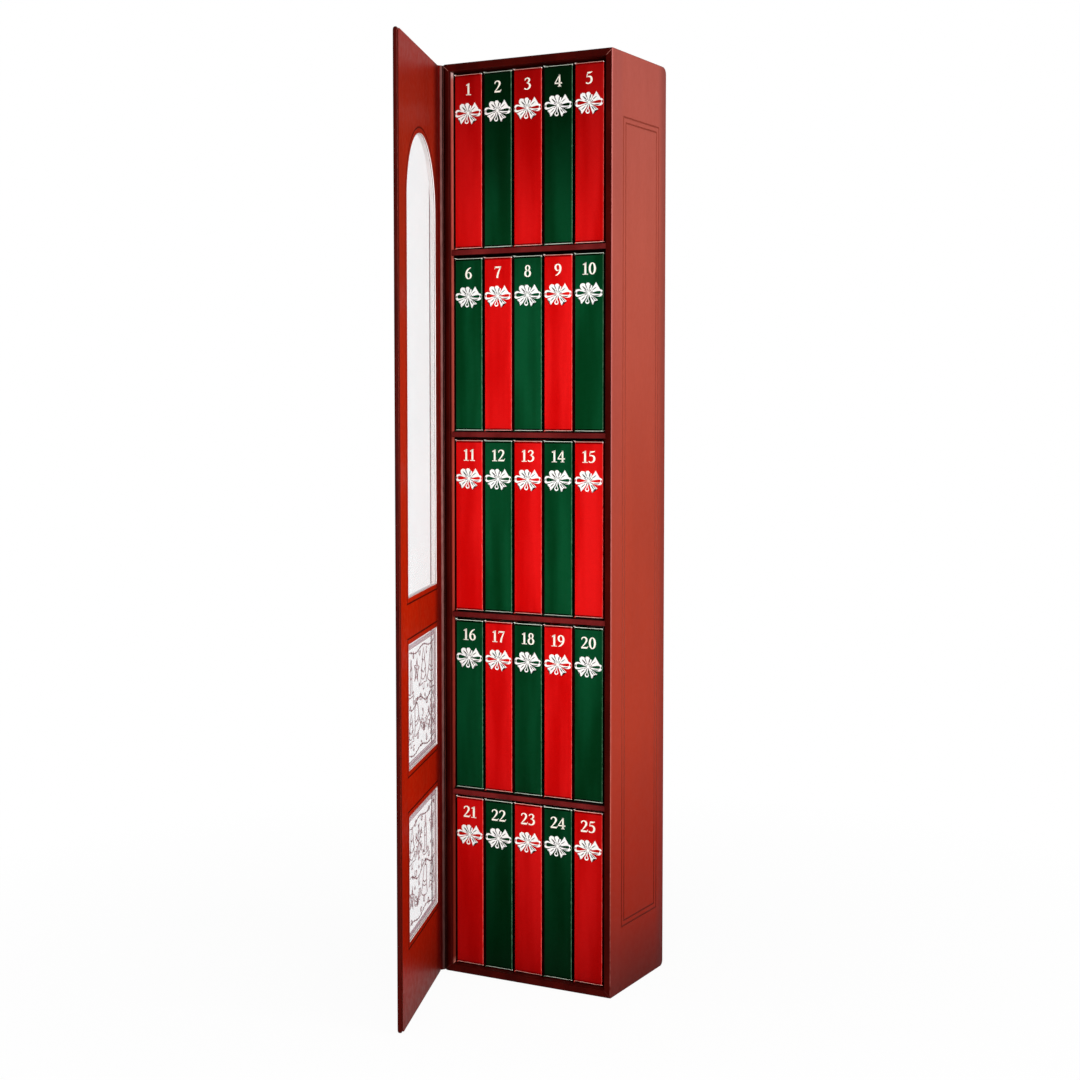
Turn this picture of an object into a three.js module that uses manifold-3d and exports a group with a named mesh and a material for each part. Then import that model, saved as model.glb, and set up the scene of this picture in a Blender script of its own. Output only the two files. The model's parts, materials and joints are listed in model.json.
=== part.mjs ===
// Miniature book advent calendar: a tall bookcase box with one side-hung door and 25 small hardback books.
// Millimetres, +Z up. The origin is the centre of the case's underside, and the open front faces -Y.

import * as THREE from 'three';
import { mergeVertices } from 'three/addons/utils/BufferGeometryUtils.js';
import Module from 'manifold-3d';

const wasm = await Module();
wasm.setup();

// Outside of the case, and the boards that it is folded from
const CASE_WIDTH = 109;
const CASE_DEPTH = 71;
const CASE_HEIGHT = 530;
const SIDE_WALL = 4.2;
const DECK = 4.4;
const BACK_BOARD = 3;
const CASE_EDGE = 0.9;
const FRONT_CORNER = 1.4;
const BACK_TOP_CORNER = 4.5;
const BACK_BOTTOM_CORNER = 3.5;

// Shelves between the rows of books
const SHELF = 3.4;
const SHELF_SETBACK = 2.2;
const SHELF_NOSE = 0.8;

// Clearance between boards that are glued, or that rest on each other
const SEAT = 0.3;

// Double line frame debossed in each side wall
const FRAME_FRONT_MARGIN = 13.5;
const FRAME_BACK_MARGIN = 10;
const FRAME_BOTTOM_MARGIN = 37.5;
const FRAME_TOP_MARGIN = 35.5;
const FRAME_LINE_SPACING = 3;
const DEBOSS_WIDTH = 0.8;
const DEBOSS_DEPTH = 0.4;

// Books: five rows of five, pushed back against the back board
const ROWS = 5;
const COLUMNS = 5;
const BOOK_RECESS = 4.8;
const BOOK_SIDE_GAP = 0.95;
const BOOK_GAP = 1.4;
const BOOK_SLACK = 3.55;
const BOOK_HEADROOM = 1.2;

// Case binding of a book: boards, spine, and the groove pressed along each joint
const COVER_BOARD = 1.6;
const SPINE_BOARD = 1.8;
const SHOULDER_RADIUS = 1.3;
const JOINT_START = 3.4;
const JOINT_WIDTH = 4;
const JOINT_DEPTH = 0.6;
const COVER_EDGE = 0.4;
const COVER_SQUARE = 1.6;
const FORE_EDGE_HOLLOW = 1.1;

// Door: a covered board with three openings, a sheet behind them and a lining, hung on a paper strip
const DOOR_OPEN_DEGREES = 69.2;
const HINGE_OUTSET = 2;
const DOOR_CLEARANCE = 0.3;
const HINGE_GUTTER = 3.7;
const DOOR_OVERHANG = 0.8;
const DOOR_LIFT = 0.5;
const DOOR_BOARD = 2.2;
const DOOR_LINING = 0.5;
const LINING_INSET = 0.7;
const DOOR_EDGE = 0.7;
const DOOR_FREE_CORNER = 2.6;
const DOOR_HINGE_CORNER = 1.2;
const HINGE_STRIP = 0.4;
const STRIP_GLUE_WIDTH = 9;
const STRIP_BEND = 2.4;

// Openings of the door: two square panels under one tall window with a round head
const STILE_AT_HINGE = 9.6;
const STILE_AT_FREE_EDGE = 19.5;
const BOTTOM_RAIL = 44;
const PANEL_HEIGHT = 68.5;
const MIDDLE_RAIL = 25;
const TOP_RAIL = 46.5;
const WINDOW_SHEET = 0.3;
const SHEET_LAP = 4;
const OUTLINE_OFFSET = 3;
const LINING_DEBOSS_DEPTH = 0.25;

// Sizes worked out from the ones above
const innerWidth = CASE_WIDTH - 2 * SIDE_WALL;
const innerHeight = CASE_HEIGHT - 2 * DECK;
const frontY = -CASE_DEPTH / 2;
const backBoardY = CASE_DEPTH / 2 - BACK_BOARD;
const rowHeight = (innerHeight - (ROWS - 1) * SHELF) / ROWS;
const rowPitch = rowHeight + SHELF;

const bookFieldWidth = innerWidth - BOOK_SIDE_GAP - BOOK_SLACK;
const bookThickness = (bookFieldWidth - (COLUMNS - 1) * BOOK_GAP) / COLUMNS;
const bookHeight = rowHeight - BOOK_HEADROOM - SEAT;
const bookFrontY = frontY + BOOK_RECESS;
const bookDepth = backBoardY - SEAT - bookFrontY;

const doorAngle = THREE.MathUtils.degToRad(DOOR_OPEN_DEGREES);
const hingeX = -CASE_WIDTH / 2 - HINGE_OUTSET;
const hingeY = frontY - DOOR_CLEARANCE;
const doorHeight = CASE_HEIGHT - 2 * DOOR_LIFT;
const doorFreeEdge = HINGE_OUTSET + CASE_WIDTH + DOOR_OVERHANG;
const boardInnerY = -DOOR_LINING - SEAT;
const boardOuterY = boardInnerY - DOOR_BOARD;

const openingLeft = HINGE_GUTTER + STILE_AT_HINGE;
const openingRight = doorFreeEdge - STILE_AT_FREE_EDGE;
const upperPanelBottom = BOTTOM_RAIL + PANEL_HEIGHT + MIDDLE_RAIL;
const windowBottom = upperPanelBottom + PANEL_HEIGHT + MIDDLE_RAIL;
const openings = [
  { bottom: BOTTOM_RAIL, top: BOTTOM_RAIL + PANEL_HEIGHT, arched: false },
  { bottom: upperPanelBottom, top: upperPanelBottom + PANEL_HEIGHT, arched: false },
  { bottom: windowBottom, top: doorHeight - TOP_RAIL, arched: true },
];

// Finishes: wine-red and mahogany covering paper, red and green book cloth, cream pages
function finish(color, roughness) {
  return new THREE.MeshStandardMaterial({ color, roughness, metalness: 0 });
}

const mahoganyPaper = finish(0x9c3424, 0.42);
const maroonPaper = finish(0x4a0c0a, 0.45);
const doorPaper = finish(0x92250f, 0.4);
const hingePaper = finish(0x7a3e38, 0.55);
const frostedSheet = finish(0xf4f3f8, 0.5);
const redCloth = finish(0xc60a10, 0.38);
const greenCloth = finish(0x0c3d25, 0.38);
const pagePaper = finish(0xf1ead8, 0.8);

// Turns a closed geometry into a solid for cutting
function solidFrom(geometry) {
  const bare = geometry.index ? geometry.toNonIndexed() : geometry.clone();
  bare.deleteAttribute('normal');
  bare.deleteAttribute('uv');
  const merged = mergeVertices(bare, 1e-4);
  const mesh = new wasm.Mesh({
    numProp: 3,
    vertProperties: new Float32Array(merged.attributes.position.array),
    triVerts: new Uint32Array(merged.index.array),
  });
  return new wasm.Manifold(mesh);
}

// Turns a solid back into a flat-shaded geometry
function geometryFrom(solid) {
  const mesh = solid.getMesh();
  const geometry = new THREE.BufferGeometry();
  geometry.setAttribute('position', new THREE.BufferAttribute(mesh.vertProperties, 3));
  geometry.setIndex(new THREE.BufferAttribute(mesh.triVerts, 1));
  const facets = geometry.toNonIndexed();
  facets.computeVertexNormals();
  return facets;
}

function cut(geometry, tools) {
  let solid = solidFrom(geometry);
  for (const tool of tools) solid = solid.subtract(solidFrom(tool));
  return geometryFrom(solid);
}

function box(width, depth, height, x, y, z) {
  return new THREE.BoxGeometry(width, depth, height).translate(x, y, z);
}

function meshOf(name, geometry, material) {
  const mesh = new THREE.Mesh(geometry, material);
  mesh.name = name;
  return mesh;
}

// Traces a rectangle with its own radius at each corner
function roundedRectangle(path, left, bottom, right, top, radii) {
  const { bottomLeft, bottomRight, topRight, topLeft } = radii;
  const quarter = Math.PI / 2;
  path.absarc(left + bottomLeft, bottom + bottomLeft, bottomLeft, 2 * quarter, 3 * quarter, false);
  path.absarc(right - bottomRight, bottom + bottomRight, bottomRight, 3 * quarter, 4 * quarter, false);
  path.absarc(right - topRight, top - topRight, topRight, 0, quarter, false);
  path.absarc(left + topLeft, top - topLeft, topLeft, quarter, 2 * quarter, false);
  path.closePath();
  return path;
}

// Stands an outline drawn in (y, z) up, and runs it along +X
const outlineAcrossCase = new THREE.Matrix4().makeBasis(
  new THREE.Vector3(0, 1, 0),
  new THREE.Vector3(0, 0, 1),
  new THREE.Vector3(1, 0, 0),
);

// Stands an outline drawn in (x, z) up, and runs it along -Y
const outlineOnDoor = new THREE.Matrix4().makeBasis(
  new THREE.Vector3(1, 0, 0),
  new THREE.Vector3(0, 0, 1),
  new THREE.Vector3(0, -1, 0),
);

// An extrusion whose bevels stay inside the outline and inside the length
function bevelledExtrusion(shape, length, bevel, bevelSegments, curveSegments) {
  return new THREE.ExtrudeGeometry(shape, {
    depth: length - 2 * bevel,
    bevelEnabled: true,
    bevelThickness: bevel,
    bevelSize: bevel,
    bevelOffset: -bevel,
    bevelSegments,
    curveSegments,
  }).translate(0, 0, bevel);
}

function plainExtrusion(shape, length, curveSegments) {
  return new THREE.ExtrudeGeometry(shape, { depth: length, bevelEnabled: false, curveSegments });
}

// One debossed rectangular line on a side wall, as the solid that is pressed out of it
function sideLine(inset, side) {
  const lineAt = (grow) => {
    const from = new THREE.Vector2(
      frontY + FRAME_FRONT_MARGIN + inset + grow,
      FRAME_BOTTOM_MARGIN + inset + grow,
    );
    const to = new THREE.Vector2(
      CASE_DEPTH / 2 - FRAME_BACK_MARGIN - inset - grow,
      CASE_HEIGHT - FRAME_TOP_MARGIN - inset - grow,
    );
    return [from, new THREE.Vector2(to.x, from.y), to, new THREE.Vector2(from.x, to.y)];
  };
  const shape = new THREE.Shape(lineAt(0));
  shape.holes.push(new THREE.Path(lineAt(DEBOSS_WIDTH)));
  const line = plainExtrusion(shape, 2 * DEBOSS_DEPTH, 1).applyMatrix4(outlineAcrossCase);
  return line.translate((side * CASE_WIDTH) / 2 - DEBOSS_DEPTH, 0, 0);
}

// The case: four walls folded from one covered board, open at the front and let in for the back board
function caseShell() {
  const outline = roundedRectangle(new THREE.Shape(), frontY, 0, CASE_DEPTH / 2, CASE_HEIGHT, {
    bottomLeft: FRONT_CORNER,
    bottomRight: BACK_BOTTOM_CORNER,
    topRight: BACK_TOP_CORNER,
    topLeft: FRONT_CORNER,
  });
  const block = bevelledExtrusion(outline, CASE_WIDTH, CASE_EDGE, 2, 3)
    .applyMatrix4(outlineAcrossCase)
    .translate(-CASE_WIDTH / 2, 0, 0);
  const inside = box(innerWidth, 2 * CASE_DEPTH, innerHeight, 0, 0, CASE_HEIGHT / 2);
  const lines = [1, -1].flatMap((side) => [
    sideLine(0, side),
    sideLine(FRAME_LINE_SPACING, side),
  ]);
  return meshOf('case_shell', cut(block, [inside, ...lines]), mahoganyPaper);
}

function backBoard() {
  const width = innerWidth - 2 * SEAT;
  const height = innerHeight - 2 * SEAT;
  const board = new THREE.BoxGeometry(width, BACK_BOARD, height);
  const mesh = meshOf('back_board', board, maroonPaper);
  mesh.position.set(0, CASE_DEPTH / 2 - BACK_BOARD / 2, CASE_HEIGHT / 2);
  return mesh;
}

// A shelf board with a soft front edge, where the covering paper turns round it
function shelf(number) {
  const shelfFront = frontY + SHELF_SETBACK;
  const shelfBack = backBoardY - SEAT;
  const sharp = 0.01;
  const outline = roundedRectangle(new THREE.Shape(), shelfFront, 0, shelfBack, SHELF, {
    bottomLeft: SHELF_NOSE,
    bottomRight: sharp,
    topRight: sharp,
    topLeft: SHELF_NOSE,
  });
  const length = innerWidth - 2 * SEAT;
  const board = plainExtrusion(outline, length, 2).applyMatrix4(outlineAcrossCase);
  const mesh = meshOf(`shelf_${number}`, board, maroonPaper);
  mesh.position.set(-length / 2, 0, DECK + number * rowPitch - SHELF);
  return mesh;
}

// Book cover in plan: two boards and a spine round the pages, with a pressed joint beside the spine
function coverOutline() {
  const half = bookThickness / 2;
  const insideHalf = half - COVER_BOARD;
  const jointEnd = JOINT_START + JOINT_WIDTH;
  const jointMiddle = JOINT_START + JOINT_WIDTH / 2;
  const jointControl = half - 2 * JOINT_DEPTH;
  const shape = new THREE.Shape();
  shape.moveTo(insideHalf, bookDepth);
  shape.lineTo(insideHalf, SPINE_BOARD);
  shape.lineTo(-insideHalf, SPINE_BOARD);
  shape.lineTo(-insideHalf, bookDepth);
  shape.lineTo(-half, bookDepth);
  shape.lineTo(-half, jointEnd);
  shape.quadraticCurveTo(-jointControl, jointMiddle, -half, JOINT_START);
  shape.absarc(
    -half + SHOULDER_RADIUS, SHOULDER_RADIUS, SHOULDER_RADIUS, Math.PI, 1.5 * Math.PI, false,
  );
  shape.absarc(
    half - SHOULDER_RADIUS, SHOULDER_RADIUS, SHOULDER_RADIUS, 1.5 * Math.PI, 2 * Math.PI, false,
  );
  shape.lineTo(half, JOINT_START);
  shape.quadraticCurveTo(jointControl, jointMiddle, half, jointEnd);
  shape.lineTo(half, bookDepth);
  shape.closePath();
  return shape;
}

// Page block in plan, with a hollow fore edge
function pageOutline() {
  const half = bookThickness / 2 - COVER_BOARD - SEAT;
  const front = SPINE_BOARD + SEAT;
  const foreEdge = bookDepth - COVER_SQUARE;
  const shape = new THREE.Shape();
  shape.moveTo(-half, front);
  shape.lineTo(half, front);
  shape.lineTo(half, foreEdge);
  shape.quadraticCurveTo(0, foreEdge - 2 * FORE_EDGE_HOLLOW, -half, foreEdge);
  shape.closePath();
  return shape;
}

const coverGeometry = bevelledExtrusion(coverOutline(), bookHeight, COVER_EDGE, 1, 3);
const pageGeometry = plainExtrusion(pageOutline(), bookHeight - 2 * COVER_SQUARE, 5);

// One book, counted from 1 at the top left, along each row from left to right
function book(row, column) {
  const number = row * COLUMNS + column + 1;
  const label = String(number).padStart(2, '0');
  const cloth = number % 2 === 1 ? redCloth : greenCloth;
  const pages = meshOf(`book_pages_${label}`, pageGeometry, pagePaper);
  pages.position.z = COVER_SQUARE;
  const group = new THREE.Group();
  group.add(meshOf(`book_cover_${label}`, coverGeometry, cloth), pages);
  const fromLeft = BOOK_SIDE_GAP + bookThickness / 2 + column * (bookThickness + BOOK_GAP);
  group.position.set(
    -innerWidth / 2 + fromLeft,
    bookFrontY,
    DECK + (ROWS - 1 - row) * rowPitch + SEAT,
  );
  return group;
}

// Traces one opening of the door, grown outward on every side
function traceOpening(path, opening, grow) {
  const left = openingLeft - grow;
  const right = openingRight + grow;
  const bottom = opening.bottom - grow;
  const top = opening.top + grow;
  path.moveTo(left, bottom);
  path.lineTo(right, bottom);
  if (opening.arched) {
    const radius = (right - left) / 2;
    path.lineTo(right, top - radius);
    path.absarc(left + radius, top - radius, radius, 0, Math.PI, false);
  } else {
    path.lineTo(right, top);
    path.lineTo(left, top);
  }
  path.closePath();
  return path;
}

function doorOutline(inset) {
  const outline = roundedRectangle(
    new THREE.Shape(),
    HINGE_GUTTER + inset,
    inset,
    doorFreeEdge - inset,
    doorHeight - inset,
    {
      bottomLeft: DOOR_HINGE_CORNER,
      bottomRight: DOOR_FREE_CORNER,
      topRight: DOOR_FREE_CORNER,
      topLeft: DOOR_HINGE_CORNER,
    },
  );
  for (const opening of openings) {
    outline.holes.push(traceOpening(new THREE.Path(), opening, 0));
  }
  return outline;
}

// The pocket in the door board's inner side that holds the window sheet flush
const pocketLeft = openingLeft - SHEET_LAP;
const pocketRight = openingRight + SHEET_LAP;
const pocketBottom = BOTTOM_RAIL - SHEET_LAP;
const pocketTop = doorHeight - TOP_RAIL + SHEET_LAP;

function pocketBox(inset, thickness, y) {
  return box(
    pocketRight - pocketLeft - 2 * inset,
    thickness,
    pocketTop - pocketBottom - 2 * inset,
    (pocketLeft + pocketRight) / 2,
    y,
    (pocketBottom + pocketTop) / 2,
  );
}

function doorBoard() {
  const board = bevelledExtrusion(doorOutline(0), DOOR_BOARD, DOOR_EDGE, 2, 6)
    .applyMatrix4(outlineOnDoor)
    .translate(0, boardInnerY, 0);
  const pocketDepth = WINDOW_SHEET + SEAT;
  const pocket = pocketBox(0, 2 * pocketDepth, boardInnerY);
  return meshOf('door_board', cut(board, [pocket]), mahoganyPaper);
}

function windowSheet() {
  const sheet = pocketBox(SEAT, WINDOW_SHEET, boardInnerY - WINDOW_SHEET / 2);
  return meshOf('window_sheet', sheet, frostedSheet);
}

// The lining covers the door's inner side, with a line debossed round each opening
function doorLining() {
  const lining = plainExtrusion(doorOutline(LINING_INSET), DOOR_LINING, 6)
    .applyMatrix4(outlineOnDoor);
  const lines = openings.map((opening) => {
    const line = traceOpening(new THREE.Shape(), opening, OUTLINE_OFFSET + DEBOSS_WIDTH / 2);
    line.holes.push(traceOpening(new THREE.Path(), opening, OUTLINE_OFFSET - DEBOSS_WIDTH / 2));
    return plainExtrusion(line, 2 * LINING_DEBOSS_DEPTH, 6)
      .applyMatrix4(outlineOnDoor)
      .translate(0, LINING_DEBOSS_DEPTH, 0);
  });
  return meshOf('door_lining', cut(lining, lines), doorPaper);
}

// The door hangs in a group whose origin is the hinge line, opened to its place
function door() {
  const group = new THREE.Group();
  group.add(doorBoard(), windowSheet(), doorLining());
  group.position.set(hingeX, hingeY, DOOR_LIFT);
  group.rotation.z = -doorAngle;
  return group;
}

// Gives a path the thickness of the paper strip, as a closed outline
function stripOutline(path) {
  const side = (direction) => path.map((point, index) => {
    const before = path[Math.max(index - 1, 0)];
    const after = path[Math.min(index + 1, path.length - 1)];
    const along = after.clone().sub(before).normalize();
    const across = new THREE.Vector2(-along.y, along.x);
    return point.clone().addScaledVector(across, (direction * HINGE_STRIP) / 2);
  });
  return new THREE.Shape([...side(1), ...side(-1).reverse()]);
}

// The hinge strip: glued along the case's left wall and the door's outer face, bending in between
function hingeStrip() {
  const alongDoor = new THREE.Vector2(Math.cos(doorAngle), -Math.sin(doorAngle));
  const throughDoor = new THREE.Vector2(Math.sin(doorAngle), Math.cos(doorAngle));
  const onDoor = (s) => new THREE.Vector2(hingeX, hingeY)
    .addScaledVector(alongDoor, s)
    .addScaledVector(throughDoor, boardOuterY - SEAT - HINGE_STRIP / 2);
  const wallX = -CASE_WIDTH / 2 - SEAT - HINGE_STRIP / 2;
  const wallEnd = new THREE.Vector2(wallX, frontY + FRONT_CORNER);
  const doorStart = onDoor(HINGE_GUTTER);
  const bend = new THREE.CubicBezierCurve(
    wallEnd,
    wallEnd.clone().add(new THREE.Vector2(0, -STRIP_BEND)),
    doorStart.clone().addScaledVector(alongDoor, -STRIP_BEND),
    doorStart,
  );
  const path = [
    new THREE.Vector2(wallX, frontY + STRIP_GLUE_WIDTH),
    ...bend.getPoints(8),
    onDoor(HINGE_GUTTER + STRIP_GLUE_WIDTH),
  ];
  const mesh = meshOf('hinge_strip', plainExtrusion(stripOutline(path), doorHeight, 1), hingePaper);
  mesh.position.z = DOOR_LIFT;
  return mesh;
}

const calendar = new THREE.Group();
calendar.add(caseShell(), backBoard());
for (let number = 1; number < ROWS; number += 1) calendar.add(shelf(number));
for (let row = 0; row < ROWS; row += 1) {
  for (let column = 0; column < COLUMNS; column += 1) calendar.add(book(row, column));
}
calendar.add(door(), hingeStrip());

export default calendar;
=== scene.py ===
"""Looks of the miniature book advent calendar: a tall case, a windowed door and 25 small numbered books.

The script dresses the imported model. It works in metres, +Z up, with the case's open front towards -Y.
"""

import json
import math

import bmesh
import bpy
from mathutils import Matrix, Vector
from mathutils.geometry import interpolate_bezier


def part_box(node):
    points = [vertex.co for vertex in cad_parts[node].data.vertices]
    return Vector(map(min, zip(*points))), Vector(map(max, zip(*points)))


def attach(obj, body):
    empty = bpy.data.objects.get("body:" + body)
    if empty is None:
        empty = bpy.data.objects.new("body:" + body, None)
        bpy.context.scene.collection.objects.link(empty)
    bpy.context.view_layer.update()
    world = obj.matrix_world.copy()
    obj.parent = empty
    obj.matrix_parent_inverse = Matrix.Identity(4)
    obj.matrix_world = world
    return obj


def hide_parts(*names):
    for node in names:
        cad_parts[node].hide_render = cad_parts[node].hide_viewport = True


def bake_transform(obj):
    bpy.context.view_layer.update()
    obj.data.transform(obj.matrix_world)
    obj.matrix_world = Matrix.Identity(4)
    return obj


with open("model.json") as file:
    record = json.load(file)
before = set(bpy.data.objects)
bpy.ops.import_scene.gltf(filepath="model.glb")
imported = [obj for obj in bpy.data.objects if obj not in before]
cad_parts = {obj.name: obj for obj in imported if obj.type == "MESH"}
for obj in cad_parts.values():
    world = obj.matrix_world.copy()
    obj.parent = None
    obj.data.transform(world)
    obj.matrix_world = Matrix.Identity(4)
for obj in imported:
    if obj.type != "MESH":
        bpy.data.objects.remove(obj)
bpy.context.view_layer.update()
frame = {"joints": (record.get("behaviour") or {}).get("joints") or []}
scene = bpy.context.scene
MM = 0.001

# Case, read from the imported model
CASE_LOW, CASE_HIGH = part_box("case_shell")
BACK_LOW, BACK_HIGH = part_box("back_board")
SEAT = 0.3 * MM
SIDE_WALL = CASE_HIGH.x - BACK_HIGH.x - SEAT
DECK = CASE_HIGH.z - BACK_HIGH.z - SEAT
CASE_EDGE = 0.9 * MM
CASE_RIM = 0.4 * MM
FRONT_CORNER = 1.4 * MM
BACK_TOP_CORNER = 4.2 * MM
BACK_BOTTOM_CORNER = 3.4 * MM
SHELF_NOSE = 0.8 * MM
BACK_EDGE = 0.4 * MM
MITRE_LINE = 0.3 * MM
MITRE_RISE = 0.02 * MM
MITRE_DEPTH = 0.1 * MM
TURN_IN = 3.7 * MM
DARK_TURN_IN = 1.4 * MM

# Lines pressed into the covering paper
FRAME_FRONT_MARGIN = 13.5 * MM
FRAME_BACK_MARGIN = 10 * MM
FRAME_BOTTOM_MARGIN = 37.5 * MM
FRAME_TOP_MARGIN = 35.5 * MM
FRAME_LINE_SPACING = 3 * MM
DEBOSS_WIDTH = 1 * MM
DEBOSS_DEPTH = 0.3 * MM
DEBOSS_SLOPE = 0.2 * MM

# Door, drawn flat with its hinge line at x = 0 and its inner face at y = 0, then turned to its place
HINGE = next(joint for joint in frame["joints"] if joint["name"] == "door_hinge")
DOOR_ANGLE = math.radians(-HINGE["range_deg"][0])
DOOR_LOW, DOOR_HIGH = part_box("door_board")
HINGE_GUTTER = 3.7 * MM
DOOR_FREE_EDGE = CASE_HIGH.x - HINGE["pos_m"][0] + 0.8 * MM
DOOR_LINING = 0.5 * MM
DOOR_BOARD = 2.2 * MM
LINING_INSET = 0.7 * MM
DOOR_EDGE = 0.9 * MM
DOOR_FREE_CORNER = 2.6 * MM
DOOR_HINGE_CORNER = 1.2 * MM
STILE_AT_HINGE = 9.6 * MM
STILE_AT_FREE_EDGE = 19.5 * MM
BOTTOM_RAIL = 44 * MM
PANEL_HEIGHT = 68.5 * MM
MIDDLE_RAIL = 25 * MM
TOP_RAIL = 46.5 * MM
WINDOW_SHEET = 0.3 * MM
SHEET_FACE = -DOOR_LINING - SEAT
FILM_CLEARNESS = 0.78
BORDER_CLEARNESS = 0.75
PRINT_MARGIN = 1.1 * MM
SHEET_LAP = 4 * MM
INK_RISE = 0.03 * MM
INK_DEPTH = 0.08 * MM
THIN_INK = 0.4
BROAD_INK = 1.05
PRINT_BORDER_LINES = (1.4, 2.4, 3.4)
PRINT_BORDER_WIDTH = 3.8 * MM
OUTLINE_OFFSET = 3 * MM
OPENING_LEFT = HINGE_GUTTER + STILE_AT_HINGE
OPENING_RIGHT = DOOR_FREE_EDGE - STILE_AT_FREE_EDGE
UPPER_PANEL_BOTTOM = BOTTOM_RAIL + PANEL_HEIGHT + MIDDLE_RAIL
WINDOW_BOTTOM = UPPER_PANEL_BOTTOM + PANEL_HEIGHT + MIDDLE_RAIL
DOOR_HEIGHT = DOOR_HIGH.z - DOOR_LOW.z
DOOR_PLACE = (
    Matrix.Translation((HINGE["pos_m"][0], HINGE["pos_m"][1], DOOR_LOW.z))
    @ Matrix.Rotation(-DOOR_ANGLE, 4, "Z")
)

# Hinge strip, a paper band glued to the left wall and to the door's outer face
HINGE_STRIP = 0.4 * MM
STRIP_GLUE_WIDTH = 9 * MM
STRIP_BEND = 2.4 * MM
STRIP_STEPS = 16
# Steps of the bend: the first ones dark as painted shade, the next ones pale as a painted highlight.
STRIP_SHADED_STEPS = 2
STRIP_PAINTED_STEPS = 5

# Books
BOOKS = range(1, 26)
SPINE_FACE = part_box("book_cover_01")[0].y
JOINT_SHADE = 8 * MM
COVER_BOARD = 1.6 * MM
COVER_RIM = 1.15 * MM
SHOULDER_RADIUS = 0.8 * MM
INNER_CORNER = 0.5 * MM
JOINT_START = 3.4 * MM
JOINT_WIDTH = 4 * MM
JOINT_DEPTH = 0.6 * MM
JOINT_STEPS = 6
# Bands at the spine's head and tail that are painted darker as shade; at the tail a crease is also pressed in
HEAD_SHADE_BAND = 1.8 * MM
TAIL_CREASE = 1.6 * MM
TAIL_CREASE_DEPTH = 0.25 * MM
FORE_EDGE_HOLLOW = 1.1 * MM
HEADBAND_RADIUS = 0.75 * MM
HEADBAND_SINK = 0.1 * MM
HEADBAND_SHARE = 0.98
HEADBAND_STRIPE = 1.1 * MM
STAMP_RISE = 0.04 * MM
STAMP_DEPTH = 0.12 * MM
DIGIT_HEIGHT = 6.7 * MM
DIGIT_STRETCH = 1.24
DIGIT_GAP = 0.08
PEN_WEIGHT = 1.16
NUMERAL_DROP = 5.6 * MM
BOW_DROP = 22.6 * MM
FOLD_LINE_RISE = 0.02 * MM
FOLD_WEIGHT = 1.25
BAND_STEP = 0.002 * MM

# Camera at the photograph's viewing angle, fitted to the case's corners in it
CAMERA_PLACE = (0.4941, -0.9296, 0.3359)
CAMERA_AZIMUTH = math.radians(28.465)
CAMERA_DIP = math.radians(3.477)
CAMERA_LENS = 59.94
CAMERA_SENSOR = 36
CAMERA_CLIP = (0.01, 50)
CAMERA_SHIFT_Y = -0.026

# Floor, which turns white between two distances from the object, and plain light
FLOOR_REACH = 6
FLOOR_GREY = 0.9
FLOOR_ROUGHNESS = 0.9
FLOOR_FADE = (0.12, 0.5, 0.95, 1)
WORLD_COLOUR = (1, 0.985, 0.97, 1)
WORLD_LIGHT = 0.22
# Soft lights: name, place, target, width, height and power
LAMPS = (
    ("front", (0.28, -0.68, 0.31), (0, -0.03, 0.29), 0.25, 0.3, 3.5),
    ("side", (1.0, -0.12, 0.55), (0.05, 0, 0.34), 0.5, 0.5, 5.6),
    ("top", (0.1, -0.35, 1.4), (0, 0, 0.3), 1, 1, 3),
)


# Finishes


def linear(value):
    """A shader's colour, from a grey's share of white or from three screen values from 0 to 255."""
    if isinstance(value, bpy.types.NodeSocket):
        return value
    if isinstance(value, (int, float)):
        return (value, value, value, 1)
    shares = [screen / 255 for screen in value]
    return (*(x / 12.92 if x <= 0.04045 else ((x + 0.055) / 1.055) ** 2.4 for x in shares), 1)


class Shading:
    """The nodes of a material or of the world, with short calls that add to them."""

    def __init__(self, owner):
        owner.use_nodes = True
        self.nodes, self.links = owner.node_tree.nodes, owner.node_tree.links
        self.output = next(node for node in self.nodes if node.type.startswith("OUTPUT"))

    def feed(self, socket, source):
        """Sets an input to a value or links it to another node's output. None leaves it as it is."""
        if isinstance(source, bpy.types.NodeSocket):
            self.links.new(source, socket)
        elif source is not None:
            socket.default_value = source

    def node(self, kind, *sources, **settings):
        """A new node with its settings, and its first inputs fed in their order."""
        node = self.nodes.new("ShaderNode" + kind)
        for name, value in settings.items():
            setattr(node, name, value)
        for socket, source in zip(node.inputs, sources):
            self.feed(socket, source)
        return node

    def math(self, operation, *values):
        return self.node("Math", *values, operation=operation).outputs[0]

    def seen_directly(self):
        """1 for rays from the camera and for those that a glossy or clear surface sends on, otherwise 0."""
        rays = self.node("LightPath").outputs
        larger = self.math("MAXIMUM", rays["Is Camera Ray"], rays["Is Glossy Ray"])
        return self.math("MAXIMUM", larger, rays["Is Transmission Ray"])

    def show(self, share, first, second):
        """Ends the nodes in a blend of two shaders."""
        self.feed(self.output.inputs["Surface"], self.node("MixShader", share, first, second).outputs[0])


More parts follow.
